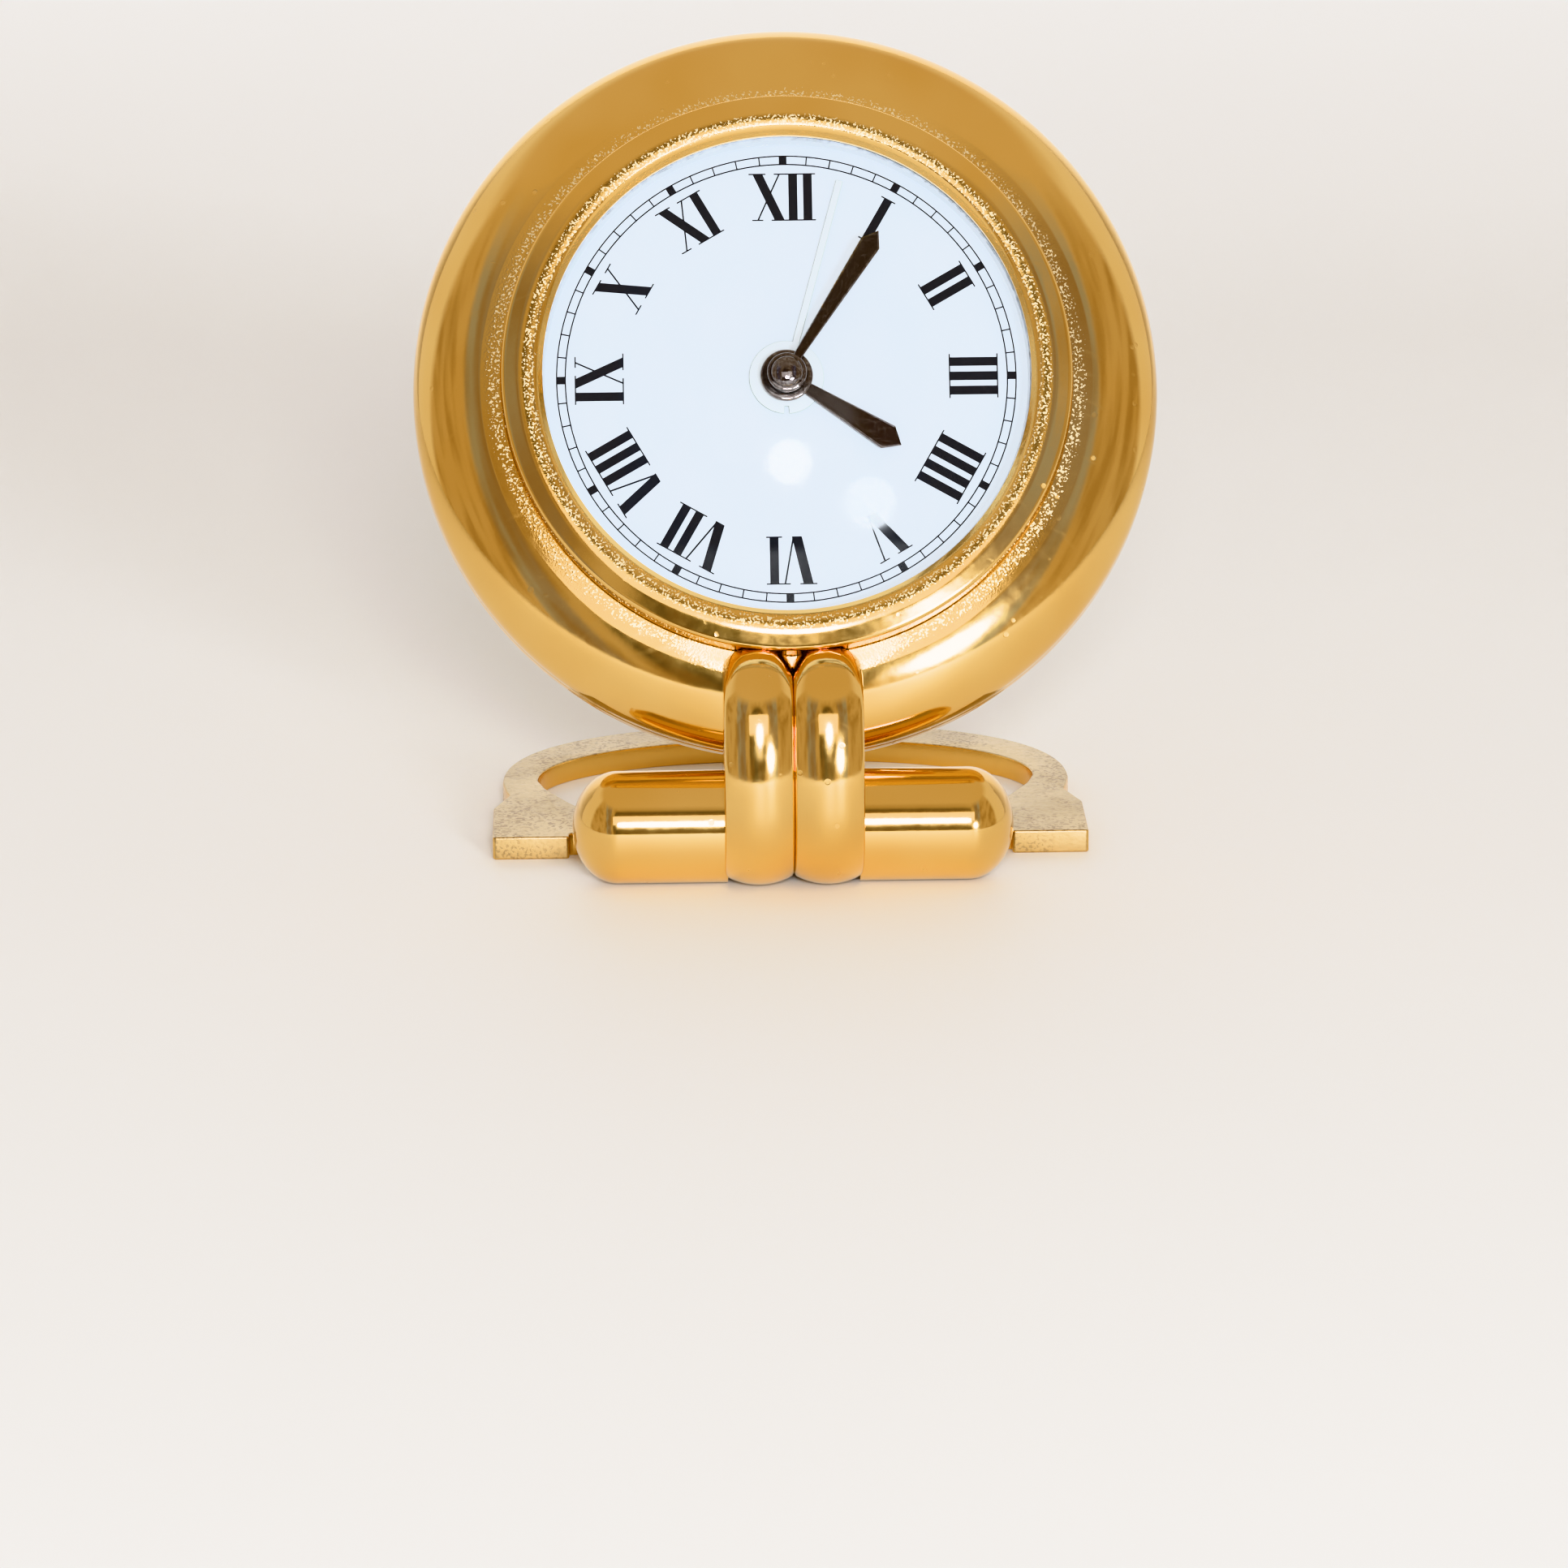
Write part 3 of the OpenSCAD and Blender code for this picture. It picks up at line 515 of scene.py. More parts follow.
def cream_paint(name):
    """Paint of the alarm hand, with painted shade: its cut edge and underside are painted a dark
    grey green as a shadow line round its rim.
    """
    g = Graph(name)
    colour = g.blend(g.noise(900, 3.0), (0.70, 0.73, 0.74), (0.66, 0.70, 0.69))
    # Painted shade: the sides and underside are painted dark grey green, as a shadow line round
    # the hand.
    colour = g.blend(g.attribute("finish_and_painted_light"), colour, (0.26, 0.31, 0.25))
    base = g.span(g.noise(1500, 2.0), 0.3, 0.7, 0.4, 0.5)
    normal = g.bump(g.noise(2800, 2.0), 0.1, 0.00003)
    return g.principled(Base_Color=colour, Roughness=base, Normal=normal)


def ink(name):
    """Matt black printing ink, with little shine."""
    g = Graph(name)
    colour = g.blend(g.noise(2200, 3.0), (0.006, 0.006, 0.007), (0.016, 0.015, 0.017))
    base = g.span(g.noise(2600, 2.0), 0.3, 0.7, 0.38, 0.5)
    normal = g.bump(g.noise(4200, 2.0), 0.15, 0.00002)
    return g.principled(
        Base_Color=colour, Roughness=base, Normal=normal, Specular_IOR_Level=0.12
    )


def acrylic(name):
    """The clear domed crystal: see-through, with reflections and faint swirl scratches."""
    g = Graph(name)
    swirl = g.noise(90, 2.0, spot=g.stretched((1.0, 9.0, 1.5), (0.3, 0.2, 0.7)))
    line = g.span(swirl, 0.60, 0.64, 0.0, 1.0)
    cross = g.noise(110, 2.0, spot=g.stretched((8.0, 1.0, 1.5), (0.1, 0.4, 0.2)))
    line = g.math("MAXIMUM", line, g.span(cross, 0.62, 0.65, 0.0, 1.0))
    rough = g.span(line, 0.0, 1.0, 0.07, 0.11)
    normal = g.bump(line, 0.12, 0.00001)
    gloss = g.feed(g.node("ShaderNodeBsdfAnisotropic"), Roughness=rough, Normal=normal)
    clear = g.node("ShaderNodeBsdfTransparent")
    clear.inputs["Color"].default_value = (0.97, 0.98, 1.0, 1.0)
    facing = g.node("ShaderNodeLayerWeight")
    facing.inputs["Blend"].default_value = 0.5
    glance = g.math("POWER", facing.outputs["Facing"], 5.0)
    mirror = g.math("ADD", g.math("MULTIPLY", glance, 0.5), 0.015)
    mixed = g.node("ShaderNodeMixShader")
    g.tree.links.new(mirror, mixed.inputs[0])
    g.tree.links.new(clear.outputs[0], mixed.inputs[1])
    g.tree.links.new(gloss.outputs[0], mixed.inputs[2])
    return g.finish(mixed.outputs[0])


GOLD_LIGHT = (0.90, 0.60, 0.22)
GOLD_DEEP = (0.85, 0.53, 0.17)
PALE_LIGHT = (0.54, 0.42, 0.25)
PALE_DEEP = (0.44, 0.33, 0.18)

FINISHES = {
    "polished_gold": gold("PolishedGold", GOLD_LIGHT, GOLD_DEEP, 0.07, 0.25),
    "satin_gold": satin_gold("SatinGold", PALE_LIGHT, PALE_DEEP),
    "steel": metal("Steel", (0.66, 0.67, 0.69), (0.52, 0.53, 0.55), 0.22),
    "crystal": acrylic("Acrylic"),
    "black_plastic": plastic("BlackPlastic", (0.03, 0.03, 0.033), (0.018, 0.018, 0.02), 0.4),
    "black_rubber": plastic("BlackRubber", (0.02, 0.02, 0.02), (0.03, 0.03, 0.03), 0.7),
    "white_enamel": enamel("WhiteEnamel"),
    "black_ink": ink("BlackInk"),
    "white_plastic": plastic("WhitePlastic", (0.76, 0.75, 0.70), (0.70, 0.69, 0.64), 0.35),
    "green_board": plastic("GreenBoard", (0.02, 0.16, 0.07), (0.03, 0.22, 0.10), 0.3, 0.4),
    "copper_wire": brushed("CopperWire", (0.72, 0.34, 0.16), (0.5, 0.2, 0.09), 0.3),
    "brass": metal("Brass", (0.78, 0.58, 0.24), (0.68, 0.48, 0.18), 0.22),
    "black_nickel": nickel("BlackNickel"),
    "cream_paint": cream_paint("CreamPaint"),
}


def finish_cad_nodes():
    """Gives each CAD node the finish of its slot in the record."""
    for row in frame["record"]["subparts"]:
        node = frame["nodes"][row["node"]]
        node.data.materials.clear()
        node.data.materials.append(FINISHES[row["material_slot"]])


# ---- Case ----


def case_radius():
    low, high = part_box("case_front")
    return (high.x - low.x) / 2 / MM


def land_turn():
    """How far round the front's shoulder goes before the land starts, in degrees."""
    inner = case_radius() - FRONT_ROUND[0]
    return math.degrees(math.acos((LAND_R - inner) / FRONT_ROUND[0]))


def land_z(r):
    """The height of the land at a radius."""
    top = RIM_BAND + FRONT_ROUND[1] * math.sin(math.radians(land_turn()))
    return top + (LAND_R - r) * math.tan(math.radians(LAND_TILT))


def front_shell():
    """The front half of the case: a fat round shoulder and a narrow sloped land."""
    radius = case_radius()
    inner = radius - FRONT_ROUND[0]
    outside = [(radius - 0.1, SPLIT), (radius - 0.02, 0.08), (radius, 0.16)]
    outside += arc((inner, RIM_BAND), FRONT_ROUND, 0, land_turn(), 90)
    bore = BEZEL_R + GAP
    land = [(BEZEL_R + 0.12, land_z(BEZEL_R + 0.12)), (bore, land_z(BEZEL_R) - 0.06)]
    inside = [(bore, SEAT_Z), (LEDGE_R, SEAT_Z), (LEDGE_R, SEAT_Z - LEDGE_T)]
    hollow = (FRONT_ROUND[0] - WALL, SEAT_Z - LEDGE_T - RIM_BAND)
    inside += arc((inner, RIM_BAND), hollow, 90, 0, 24)
    inside += [(radius - WALL, SPLIT)]
    bm = bmesh.new()
    profile = outside + dense([outside[-1]] + land, 0.15, closed=False)[1:] + inside
    revolve(bm, profile, CASE_STEPS)

    # Where the grains with their painted glints go: the land's crest band, and, with a matt
    # ground too, the land beside the strap, where they paint a highlight into the notch by the
    # ribs.
    def finish_and_painted_light(p):
        if p.z < 4.5:
            return 0.0
        r = math.hypot(p.x, p.y)
        aside = math.degrees(math.atan2(abs(p.x), -p.y))
        by_strap = band(aside, -1, 14, 10) * band(r, 26.5, 28.6, 0.5)
        return band(r, 26.95, 27.75, 0.8) + by_strap

    add_piece(
        "FrontShell", bm, CASE, "clock", FINISHES["polished_gold"],
        ["case_front"], finish_and_painted_light=finish_and_painted_light,
    )


def back_shell():
    """The deeper back half of the case, with the seat of the cover and the inner spigot."""
    radius = case_radius()
    inner = radius - BACK_ROUND[0]
    back_z = -RIM_BAND - BACK_ROUND[1]
    profile = [(radius - 0.1, -SPLIT), (radius - 0.02, -0.08), (radius, -0.16)]
    profile += arc((inner, -RIM_BAND), BACK_ROUND, 0, -90, 90)
    bore = COVER_R + GAP
    profile += [(COVER_R + 0.12, back_z), (bore, back_z + 0.07), (bore, back_z + COVER_SEAT)]
    profile += [(COVER_BORE_R, back_z + COVER_SEAT), (COVER_BORE_R, back_z + FLOOR_T)]
    hollow = (BACK_ROUND[0] - WALL, BACK_ROUND[1] - FLOOR_T)
    profile += arc((inner, -RIM_BAND), hollow, -90, -8, 24)
    profile += [(SPIGOT[0], -WALL), (SPIGOT[0], 1.0), (SPIGOT[1], 1.0), (SPIGOT[1], -SPLIT)]
    bm = bmesh.new()
    revolve(bm, profile, CASE_STEPS)
    add_piece(
        "BackShell", bm, CASE, "clock", FINISHES["polished_gold"],
        ["case_back"],
    )


def bezel():
    """The raised ring: an upright wall, a small round, a sloped band, a crest and a lip."""
    profile = [(CRYSTAL_R + 0.1, SEAT_Z), (BEZEL_R, SEAT_Z)]
    profile += arc((BEZEL_R - BEZEL_EDGE, BEZEL_EDGE_Z), (BEZEL_EDGE, BEZEL_EDGE), 0, 74, 10)
    crest_mid = (CREST[0], CREST[1] - CREST_ROUND)
    profile += arc(crest_mid, (CREST_ROUND, CREST_ROUND), 76, 102, 24)
    profile += [(LIP_R + 0.55, LIP_Z + 0.9), (LIP_R, LIP_Z + 0.35), (LIP_R, LIP_Z)]
    profile += [(CRYSTAL_R + 0.1, LIP_Z)]
    bm = bmesh.new()
    revolve(bm, dense(profile, 0.2), CASE_STEPS)

    # The grains with their painted glints go on the crest band of the ring's top.
    def finish_and_painted_light(p):
        r = math.hypot(p.x, p.y)
        return 1.2 * band(r, 23.75, 24.5, 0.5) if p.z > 8.2 else 0.0

    add_piece(
        "BezelRing", bm, CASE, "clock", FINISHES["polished_gold"],
        ["bezel_ring"], crease=20, finish_and_painted_light=finish_and_painted_light,
    )


def crystal():
    """The domed acrylic crystal and its flange."""
    edge = LIP_R - 0.1
    middle = LIP_Z + 0.05 - math.sqrt(DOME_R**2 - edge**2)
    reach = math.degrees(math.asin(edge / DOME_R))
    inner = DOME_R - DOME_T
    inner_reach = math.degrees(math.asin((edge - 0.5) / inner))
    outside = arc((0, middle), (DOME_R, DOME_R), 90, 90 - reach, 40)
    inside = arc((0, middle), (inner, inner), 90 - inner_reach, 90, 40)
    flange = [(edge, LIP_Z - GASKET_T), (CRYSTAL_R, LIP_Z - GASKET_T), (CRYSTAL_R, FLANGE_Z)]
    flange += [(LIP_R - 0.6, FLANGE_Z)]
    outside[0] = (0.0, outside[0][1])
    inside[-1] = (0.0, inside[-1][1])
    bm = bmesh.new()
    revolve(bm, outside + flange + inside, 224)
    add_piece(
        "CrystalDome", bm, CASE, "clock", FINISHES["crystal"], ["crystal"],
    )


# ---- Strap and bar ----


def rib_outline(drop, corner):
    """Side view of a rib whose surface is drop below its crown, behind and above the foot.
    At its top end the surface falls by corner more."""
    swing = math.radians(LOW_DIR)
    mid = (
        LOW_WHEEL[0] - (LONG_R - LOW_R) * math.cos(swing),
        LOW_WHEEL[1] - (LONG_R - LOW_R) * math.sin(swing),
    )
    swing = math.radians(TOP_DIR)
    top = (
        mid[0] + (LONG_R - TOP_R) * math.cos(swing),
        mid[1] + (LONG_R - TOP_R) * math.sin(swing),
    )
    low_r, long_r, top_r = LOW_R - drop, LONG_R - drop, TOP_R - drop
    points = []
    for i in range(41):
        angle = 10 + (TOP_DIR - 10) * i / 40
        lowered = top_r - corner * band(angle, 0, 100, 40)
        points += arc(top, (lowered, lowered), angle, angle, 1)[:1]
    points += arc(mid, (long_r, long_r), TOP_DIR, LOW_DIR, 12)[1:]
    points += arc(LOW_WHEEL, (low_r, low_r), LOW_DIR, 345, 44)[1:]
    return points


def rib(bm, centre):
    """One crowned rib: side views at steps across its width, joined into a skin."""
    half = RIB_W / 2
    steps = 26
    edge = 0.25
    loops = []
    for i in range(steps + 1):
        x = -half * math.cos(math.pi * i / steps)
        drop = CROWN_R - math.sqrt(CROWN_R**2 - x * x)
        side = max(0.0, abs(x) - (half - edge)) / edge
        drop += edge * (1 - math.sqrt(max(0.0, 1 - side * side)))
        corner = 0.75 * (abs(x) / half) ** 5
        outline = rib_outline(drop, corner)
        loops.append([bm.verts.new((centre + x, y, z)) for y, z in outline])
    for a, b in zip(loops, loops[1:]):
        for k in range(len(a)):
            n = (k + 1) % len(a)
            bm.faces.new((a[k], a[n], b[n], b[k]))
    bm.faces.new(loops[0])
    bm.faces.new(list(reversed(loops[-1])))


def case_plug():
    """A solid just inside the case's skin, to cut the strap where it is soldered on."""
    radius = case_radius()
    sunk = 0.3
    front = (FRONT_ROUND[0] - sunk, FRONT_ROUND[1] - sunk)
    back = (BACK_ROUND[0] - sunk, BACK_ROUND[1] - sunk)
    profile = arc((radius - FRONT_ROUND[0], RIM_BAND), front, land_turn(), 0, 40)
    profile += arc((radius - BACK_ROUND[0], -RIM_BAND), back, 0, -90, 40)
    profile += [(0.0, -RIM_BAND - back[1]), (0.0, 14.0), (BEZEL_R - sunk, 14.0)]
    profile += [(BEZEL_R - sunk, land_z(BEZEL_R) - sunk)]
    bm = bmesh.new()
    revolve(bm, profile, CASE_STEPS)
    bmesh.ops.recalc_face_normals(bm, faces=bm.faces)
    mesh = bpy.data.meshes.new("plug")
    bm.to_mesh(mesh)
    bm.free()
    mesh.transform(CASE)
    plug = bpy.data.objects.new("plug", mesh)
    bpy.context.scene.collection.objects.link(plug)
    return plug


def cut(piece, cutter):
    """Takes the cutter out of a piece, for good, and removes the cutter."""
    modifier = piece.modifiers.new("cut", "BOOLEAN")
    modifier.operation = "DIFFERENCE"
    modifier.solver = "EXACT"
    modifier.object = cutter
    bpy.context.view_layer.update()
    graph = bpy.context.evaluated_depsgraph_get()
    mesh = bpy.data.meshes.new_from_object(piece.evaluated_get(graph))
    piece.modifiers.clear()
    piece.data = mesh
    mesh.shade_smooth()
    mesh.set_sharp_from_angle(angle=math.radians(32))
    bpy.data.objects.remove(cutter)


def strap():
    """Two crowned ribs side by side, curling from the case round the bar."""
    for side, name in ((-1, "StrapRibLeft"), (1, "StrapRibRight")):
        bm = bmesh.new()
        rib(bm, side * RIB_W / 2)
        nodes = ["strap"] if side < 0 else []
        piece = add_piece(
            name, bm, FOOT, "clock", FINISHES["polished_gold"], nodes
        )
        cut(piece, case_plug())


def strap_arm():
    """The flat arm behind the strap, which ends in the hinge's middle knuckle."""
    back = PIN_AT[0]
    outline = [(3.0, 1.0), (back, PIN_AT[1] - KNUCKLE_R)]
    outline += arc(PIN_AT, (KNUCKLE_R, KNUCKLE_R), -88, 88, 20)
    outline += [(back, PIN_AT[1] + KNUCKLE_R), (5.0, 5.4)]
    bm = bmesh.new()
    prism(bm, outline, -KNUCKLE_HALF, KNUCKLE_HALF, 0.2)
    turn = Matrix(((0, 0, 1, 0), (1, 0, 0, 0), (0, 1, 0, 0), (0, 0, 0, 1)))
    bm.transform(turn)
    add_piece(
        "StrapArm", bm, FOOT, "clock", FINISHES["polished_gold"], []
    )


def bars():
    """The two round-ended halves of the crossbar."""
    for side, name, node in ((-1, "BarLeft", "bar_left"), (1, "BarRight", "bar_right")):
        end = BAR_HALF - BAR_DOME
        profile = [(0.0, RIB_W - 0.3), (BAR_R, RIB_W - 0.3)]
        profile += dense([(BAR_R, RIB_W), (BAR_R, end)], 0.5, closed=False)
        profile += arc((0, end), (BAR_R, BAR_DOME), 2, 90, 30)
        profile[-1] = (0.0, BAR_HALF)
        bm = bmesh.new()
        revolve(bm, profile, 128)
        place = (
            FOOT
            @ Matrix.Translation((0, 0, BAR_Z))
            @ Matrix.Rotation(side * math.pi / 2, 4, "Y")
        )
        add_piece(
            name, bm, place, "clock", FINISHES["polished_gold"], [node]
        )


# ---- Stirrup stand ----

PAD_Y = 8.1
TREAD_Y = 9.4
TREAD_BACK_Y = 13.6
PAD_IN = 20.9
PAD_HALF = 28.1
SHOULDER_Y = 18.6
NOTCH = (26.6, 23.2)
BOW = (27.3, 27.9)
ARCH_Y = 48.8
BOW_IN = (23.9, 28.5)
ARCH_IN_Y = 42.7
THROAT = (20.5, 19.6)


def bow_arc(start, back, power, steps):
    """A superelliptical quarter from its side, at start, to its back on the centre line."""
    points = []
    for i in range(steps + 1):
        turn = math.pi / 2 * i / steps
        x = start[0] * max(0.0, math.cos(turn)) ** (2 / power)
        y = start[1] + (back - start[1]) * math.sin(turn) ** (2 / power)
        points.append((x, y))
    return points


def stirrup_outline():
    """The stirrup's flat outline: pads in front, a waist, and a wide bow behind."""
    right = [(EAR_IN, TREAD_Y, 0.2), (PAD_IN, TREAD_Y, 0.4), (PAD_IN, PAD_Y, 0.3)]
    right += [(PAD_HALF, PAD_Y, 0.35), (PAD_HALF, SHOULDER_Y, 0.8)]
    right += [(NOTCH[0] + 0.5, NOTCH[1] - 1.4, 2.0), (*NOTCH, 1.6)]
    right += [(NOTCH[0] + 0.35, NOTCH[1] + 1.6, 2.0)]
    right += [(x, y, 0.0) for x, y in bow_arc(BOW, ARCH_Y, 2.3, 44)]
    inner = [(x, y, 0.0) for x, y in reversed(bow_arc(BOW_IN, ARCH_IN_Y, 2.15, 40))]
    inner += [(23.2, 25.6, 2.0), (21.8, 22.3, 2.0), (*THROAT, 2.0)]
    inner += [(THROAT[0] - 1.6, THROAT[1] - 2.6, 1.5)]
    inner += [(THROAT[0] - 4, TREAD_BACK_Y + 1.4, 1.5), (EAR_OUT, TREAD_BACK_Y, 0.6)]
    inner += [(EAR_IN, TREAD_BACK_Y, 0.3)]
    left = [(-x, y, r) for x, y, r in reversed(right[:-1])]
    left_inner = [(-x, y, r) for x, y, r in reversed(inner[1:])]
    return rounded(right + left + left_inner + inner, 0.0, 6)


def stirrup():
    """The folding stand: a flat stirrup with two hinge ears."""
    bm = bmesh.new()
    prism(bm, stirrup_outline(), 0.0, PLATE_T, 0.28, 4)

    def finish_and_painted_light(p):
        toe = 0.6 * band(p.y, PAD_Y, PAD_Y + 0.02, 0.1)
        return max(band(p.z, PLATE_T - 0.02, PLATE_T, 0.1), toe)

    add_piece(
        "StirrupPlate", bm, FOOT, "stand", FINISHES["satin_gold"],
        ["stirrup_stand"], finish_and_painted_light=finish_and_painted_light,
    )
    for side, name in ((-1, "StirrupEarLeft"), (1, "StirrupEarRight")):
        width = EAR_OUT - EAR_IN
        profile = rounded([(0, 0, 0), (KNUCKLE_R, 0), (KNUCKLE_R, width), (0, width, 0)], 0.25)
        bm = bmesh.new()
        revolve(bm, profile, 64)
        place = FOOT @ Matrix.Translation((side * EAR_IN, PIN_AT[0], PIN_AT[1]))
        place = place @ Matrix.Rotation(side * math.pi / 2, 4, "Y")
        add_piece(name, bm, place, "stand", FINISHES["satin_gold"], [])


# ---- Hands ----

TIP = 1.45
MINUTE_Z = 7.4
MINUTE_LEN = 16.2
HOUR_Z = 6.3
HOUR_LEN = 12.6
ALARM_Z = 5.65
ALARM_LEN = 19.7
ALARM_T = 0.2
DISC_R = 3.5
NOTCH_R = 2.8


def lance(bm, length, shoulder, root, width, low, high, ridge):
    """A hand that widens to its shoulders, ends in a point, and is ground to a flat ridge."""
    start = 0.6
    outline = [(-root / 2, start), (root / 2, start), (width / 2, shoulder)]
    outline += [(0.0, length), (-width / 2, shoulder)]
    inset = [(x * ridge, y) for x, y in outline]
    inset[3] = (0.0, length - (1 - ridge) * 1.2)
    inset[2] = (width / 2 * ridge, shoulder - 0.02)
    inset[4] = (-width / 2 * ridge, shoulder - 0.02)
    base = [bm.verts.new((x, y, low)) for x, y in outline]
    edge = [bm.verts.new((x, y, high - 0.12)) for x, y in outline]
    top = [bm.verts.new((x, y, high)) for x, y in inset]
    bm.faces.new(list(reversed(base)))
    bm.faces.new(top)
    for a, b in ((base, edge), (edge, top)):
        for k in range(len(a)):
            n = (k + 1) % len(a)
            bm.faces.new((a[k], a[n], b[n], b[k]))


def boss(bm, radius, bore, low, high, edge=0.12):
    """A round hub with its rims rounded."""
    outline = [(bore, low, 0), (radius, low, edge / 2), (radius, high, edge), (bore, high, 0.05)]
    revolve(bm, rounded(outline, 0.0, 5), 96)


def minute_hand():
    """The long hand, on the upper hub."""
    bm = bmesh.new()
    shoulder = MINUTE_LEN - TIP
    lance(bm, MINUTE_LEN, shoulder, 0.7, 2.0, MINUTE_Z + 0.1, MINUTE_Z + 0.35, 0.82)
    boss(bm, 1.86, 0.65, MINUTE_Z, MINUTE_Z + 0.6, 0.2)
    add_piece(
        "MinuteHand", bm, CASE @ hand_turn("minute_hand"), "minute",
        FINISHES["black_nickel"], ["minute_hand"], crease=25,
    )


def minute_cap():
    """The domed cap over the hands' hub."""
    bm = bmesh.new()
    profile = [(0.0, MINUTE_Z + 0.6)]
    profile += arc((0, MINUTE_Z + 0.6), (1.5, 0.6), 0, 90, 16)
    profile[-1] = (0.0, MINUTE_Z + 1.2)
    revolve(bm, profile, 96)
    add_piece(
        "MinuteCap", bm, CASE, "minute", FINISHES["black_nickel"],
        ["minute_cap"], crease=50,
    )


def hour_hand():
    """The short hand, on the lower hub."""
    bm = bmesh.new()
    lance(bm, HOUR_LEN, HOUR_LEN - TIP, 0.9, 2.5, HOUR_Z + 0.05, HOUR_Z + 0.3, 0.85)
    boss(bm, 2.46, 1.3, HOUR_Z, HOUR_Z + 0.5, 0.2)
    add_piece(
        "HourHand", bm, CASE @ hand_turn("hour_hand"), "hour",
        FINISHES["black_nickel"], ["hour_hand"], crease=25,
    )


def alarm_hand():
    """A thin pale baton on a white disc, which has a small notch in its rim."""
    bm = bmesh.new()
    half = 0.33
    disc = (DISC_R, DISC_R)
    turn = math.degrees(math.asin(half / DISC_R))
    notch = 285
    notch_half = math.degrees(math.asin(0.25 / DISC_R))
    outline = [(half, ALARM_LEN, 0.1), (-half, ALARM_LEN, 0.1)]
    outline += arc((0, 0), disc, 90 + turn, notch - notch_half, 60)
    inward = [math.radians(notch - notch_half), math.radians(notch + notch_half)]
    outline += [(NOTCH_R * math.cos(t), NOTCH_R * math.sin(t)) for t in inward]
    outline += arc((0, 0), disc, notch + notch_half, 450 - turn, 60)
    prism(bm, rounded(outline, 0.0), ALARM_Z, ALARM_Z + ALARM_T, 0.06, 2)

    # Marks the sides and underside, where the paint puts its painted shade.
    def finish_and_painted_light(p):
        return 0.0 if p.z > ALARM_Z + ALARM_T - 0.001 else 1.0

    add_piece(
        "AlarmHand", bm, CASE @ hand_turn("alarm_hand"), "alarm",
        FINISHES["cream_paint"], ["alarm_hand"], finish_and_painted_light=finish_and_painted_light,
    )


# ---- Back ----

KNOB_R = 3.6
KNOB_LOW = COVER_OUT_Z - 2.1
KNOB_HIGH = COVER_OUT_Z - 0.3
KNOB_FLUTES = 20


def knob_flute(turn, r):
    """The radius of a fluted knob's side; its middle stays round."""
    if r < KNOB_R - 0.5:
        return r
    wave = 0.5 + 0.5 * math.cos(turn * KNOB_FLUTES)
    return r - 0.3 * (1 - wave) ** 2


def knobs():
    """The two fluted setting knobs on the back cover."""
    for node, body, name in (
        ("time_knob", "time_setter", "TimeKnob"),
        ("alarm_knob", "alarm_setter", "AlarmKnob"),
    ):
        x, y, _ = middle_of(node, CASE)
        outline = [(0, KNOB_LOW + 0.4, 0), (1.5, KNOB_LOW + 0.4, 0.1), (1.5, KNOB_LOW, 0.12)]
        outline += [(KNOB_R, KNOB_LOW, 0.25), (KNOB_R, KNOB_HIGH, 0.15), (0, KNOB_HIGH, 0)]
        bm = bmesh.new()
        revolve(bm, dense(rounded(outline, 0.0, 6), 0.5), 240, knob_flute)
        place = CASE @ Matrix.Translation((x, y, 0))
        add_piece(name, bm, place, body, FINISHES["polished_gold"], [node])


def soften(node, width, segments=2):
    """Rounds the edges of a CAD node that is shown as it is."""
    shown = frame["nodes"][node]
    weld = shown.modifiers.new("weld", "WELD")
    weld.merge_threshold = 1e-6
    bevel = shown.modifiers.new("soft", "BEVEL")
    bevel.width = width * MM
    bevel.segments = segments
    bevel.angle_limit = math.radians(40)


# ---- Stage ----

CAMERA_AT = (-0.01765, -0.73352, 0.20296)
CAMERA_DOWN = 15.18
CAMERA_TURN = -1.351
CAMERA_ROLL = -0.40
CAMERA_LENS = 182.6


def camera():
    """A long lens in front of the dial, a little above it and to its left."""
    data = bpy.data.cameras.new("Camera")
    data.lens = CAMERA_LENS
    data.sensor_width = 36.0
    data.clip_start = 0.01
    data.clip_end = 20.0
    view = bpy.data.objects.new("Camera", data)
    bpy.context.scene.collection.objects.link(view)
    view.matrix_world = (
        Matrix.Translation(CAMERA_AT)
        @ Matrix.Rotation(math.radians(CAMERA_TURN), 4, "Z")
        @ Matrix.Rotation(math.radians(90 - CAMERA_DOWN), 4, "X")
        @ Matrix.Rotation(math.radians(CAMERA_ROLL), 4, "Z")
    )
    bpy.context.scene.camera = view


def lamp(name, at, size, power, colour, aim=(0, 0, 0.035)):
    """A soft light: round when one size is given, else a rectangle."""
    data = bpy.data.lights.new(name, "AREA")
    data.shape = "RECTANGLE" if len(size) > 1 else "DISK"
    data.size = size[0]
    data.size_y = size[-1]
    data.energy = power
    data.color = colour
    light = bpy.data.objects.new(name, data)
    bpy.context.scene.collection.objects.link(light)
    light.location = at
    light.rotation_euler = (Vector(aim) - Vector(at)).to_track_quat("-Z", "Y").to_euler()


def lights():
    """One small lamp by the camera, a panel over it, a window aside and a lit backdrop."""
    lamp("NearCamera", (0.02, -0.80, 0.29), (0.14,), 5.5, (0.93, 0.97, 1.0))
    lamp("Front", (0.0, -0.957, 0.512), (0.6, 0.32), 1.1, (1.0, 0.98, 0.95))
    lamp("Window", (0.50, -1.41, 0.24), (0.29,), 15.0, (0.86, 0.93, 1.0))
    lamp("Backdrop", (0.0, 0.5, 0.9), (1.6, 0.4), 13.0, (0.92, 0.96, 1.0), (0.0, 1.15, 0.70))


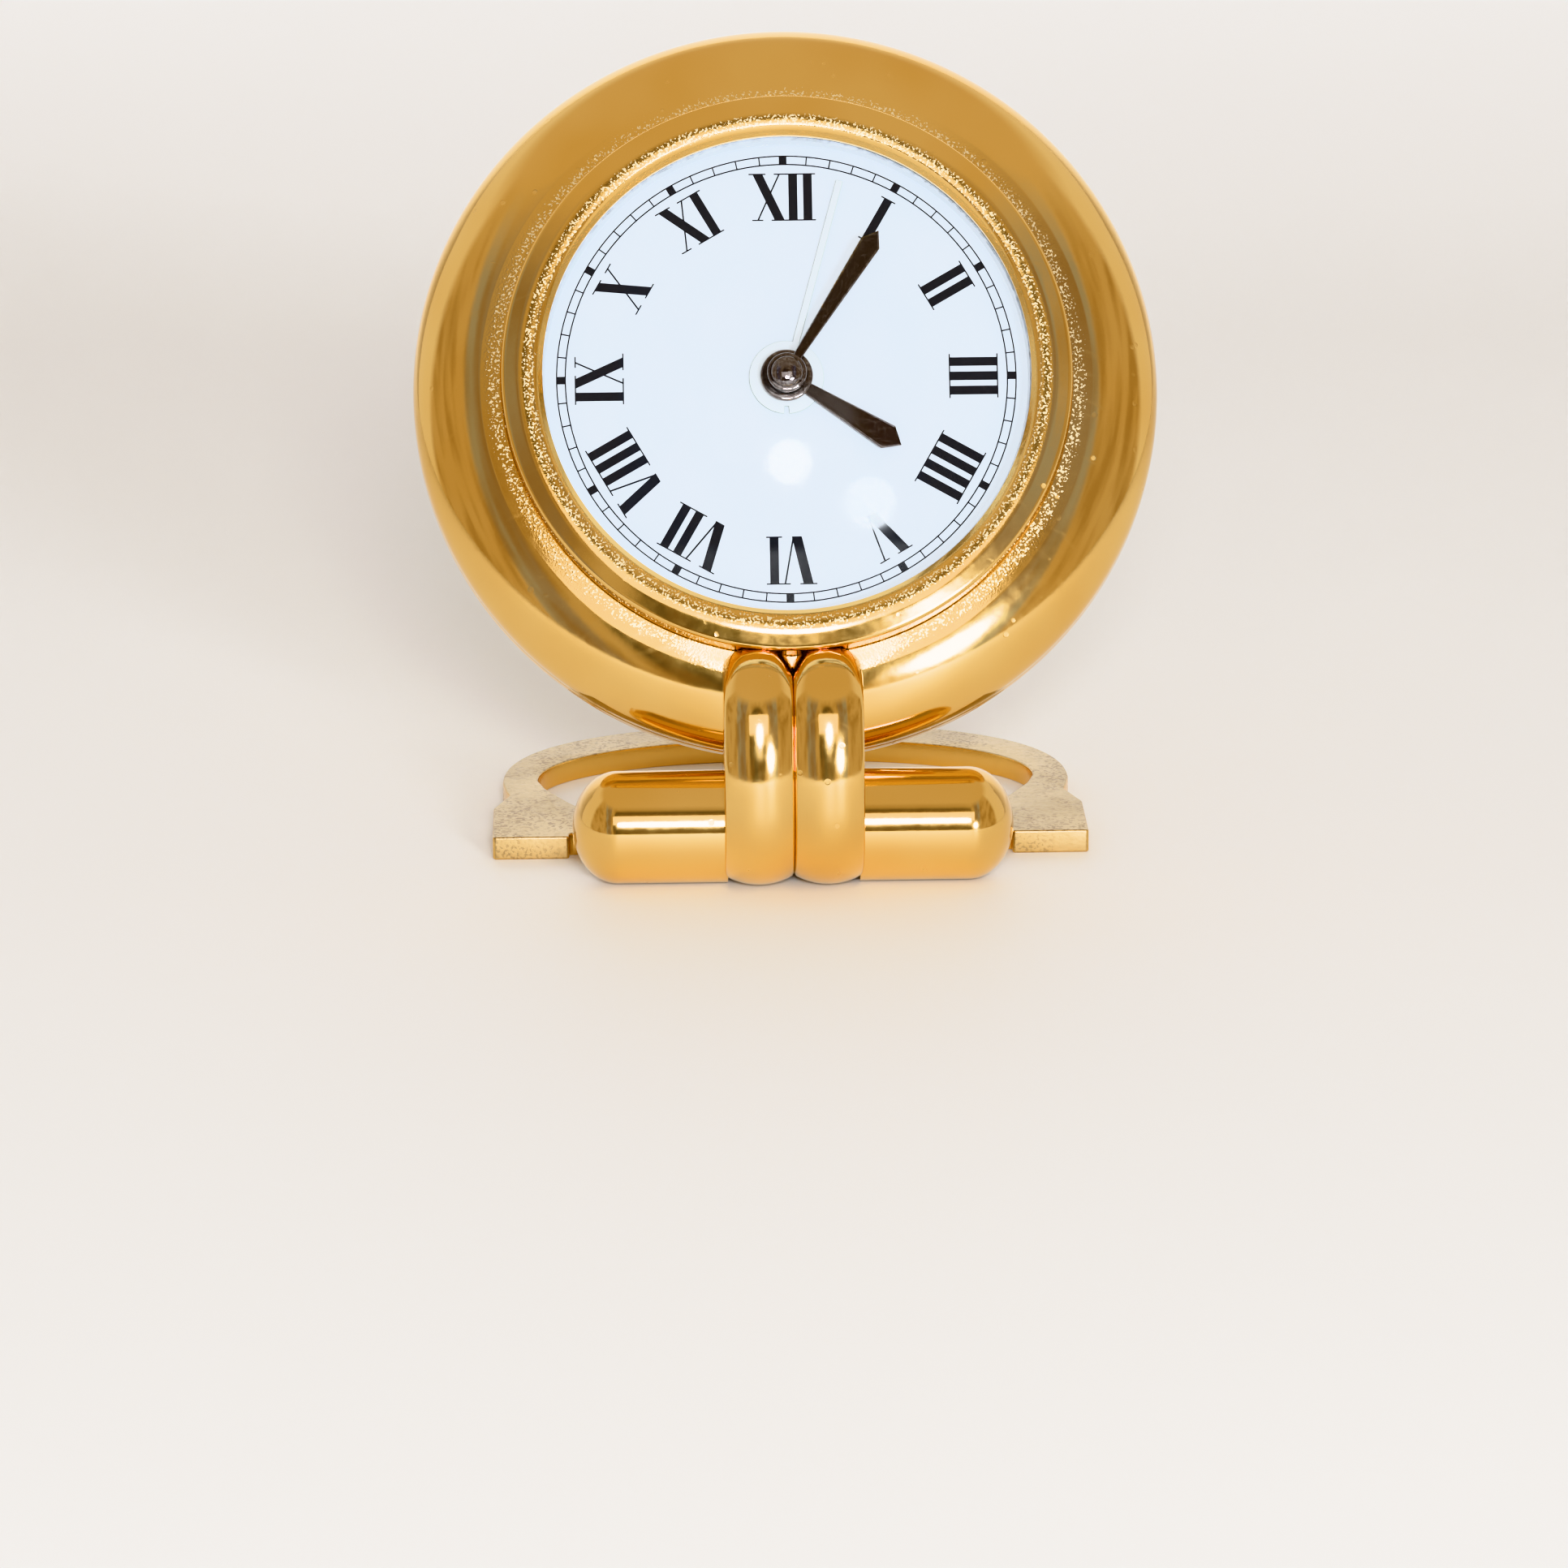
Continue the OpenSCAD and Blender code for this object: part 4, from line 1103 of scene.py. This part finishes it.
def world():
    """A warm soft room: dark behind the camera, with rings of tone and brown streaks
    round that, and pale beyond the object."""
    g = Graph("Room", bpy.data.worlds.new("Room"))
    bpy.context.scene.world = g.owner
    apart = g.feed(g.node("ShaderNodeSeparateXYZ"), Vector=g.spot).outputs
    across = g.math("POWER", g.math("ABSOLUTE", g.math("ADD", apart["X"], 0.03), 0.0), 2.0)
    rise = g.math("MULTIPLY", g.math("SUBTRACT", apart["Z"], 0.30), 0.55)
    rise = g.math("POWER", g.math("ABSOLUTE", rise, 0.0), 2.0)
    ramp = g.node("ShaderNodeValToRGB")
    g.tree.links.new(g.math("SQRT", g.math("ADD", across, rise), 0.0), ramp.inputs[0])
    rings = [
        (0.22, (0.13, 0.113, 0.105)),
        (0.26, (0.66, 0.54, 0.40)),
        (0.34, (0.68, 0.56, 0.42)),
        (0.37, (0.38, 0.36, 0.42)),
        (0.46, (0.40, 0.38, 0.44)),
        (0.49, (0.44, 0.48, 0.60)),
        (0.55, (0.44, 0.48, 0.60)),
        (0.58, (0.70, 0.57, 0.43)),
        (1.00, (0.68, 0.56, 0.43)),
    ]
    stops = ramp.color_ramp.elements
    stops.remove(stops[-1])
    for i, (at, tone) in enumerate(rings):
        stop = stops.new(at) if i else stops[0]
        stop.position = at
        stop.color = (*tone, 1)
    streaks = g.noise(2.2, 4.0, spot=g.stretched((5.0, 1.0, 2.0), (0.0, 0.5, 0.0)))
    streaks = g.span(streaks, 0.44, 0.62, 0.0, 0.6)
    tone = g.blend(streaks, ramp.outputs[0], (0.34, 0.22, 0.13))
    beyond = g.span(apart["Y"], -0.14, -0.02, 0.0, 1.0)
    tone = g.blend(beyond, tone, (0.95, 0.90, 0.84))
    tone = g.blend(g.span(apart["Z"], 0.72, 0.84, 0.0, 1.0), tone, (0.78, 0.65, 0.50))
    glow = g.feed(g.node("ShaderNodeBackground"), Color=tone, Strength=0.9)
    g.finish(glow.outputs[0])


def floor():
    """A pale sweep: a flat floor that curves up behind the object."""
    bm = bmesh.new()
    flat, bend, wall = 0.9, 0.25, 1.2
    path = [(-1.6, 0.0), (flat, 0.0)]
    path += arc((flat, bend), (bend, bend), -90, 0, 16)
    path += [(flat + bend, wall)]
    rows = []
    for y, z in path:
        rows.append([bm.verts.new((x, y, z)) for x in (-2.0, 2.0)])
    for a, b in zip(rows, rows[1:]):
        bm.faces.new((a[0], a[1], b[1], b[0]))
    mesh = bpy.data.meshes.new("Floor")
    bm.to_mesh(mesh)
    bm.free()
    mesh.shade_smooth()
    g = Graph("PaleFloor")
    colour = g.blend(g.noise(6, 3.0), (0.78, 0.78, 0.785), (0.81, 0.81, 0.815))
    mesh.materials.append(g.principled(Base_Color=colour, Roughness=0.6))
    sweep = bpy.data.objects.new("Floor", mesh)
    bpy.context.scene.collection.objects.link(sweep)


finish_cad_nodes()
front_shell()
back_shell()
bezel()
crystal()
strap()
strap_arm()
bars()
stirrup()
minute_hand()
minute_cap()
hour_hand()
alarm_hand()
knobs()
for softened in ("back_cover", "battery_hatch", "alarm_switch", "hinge_pin"):
    soften(softened, 0.12)
camera()
lights()
world()
floor()
bpy.context.scene.view_settings.view_transform = "Khronos PBR Neutral"
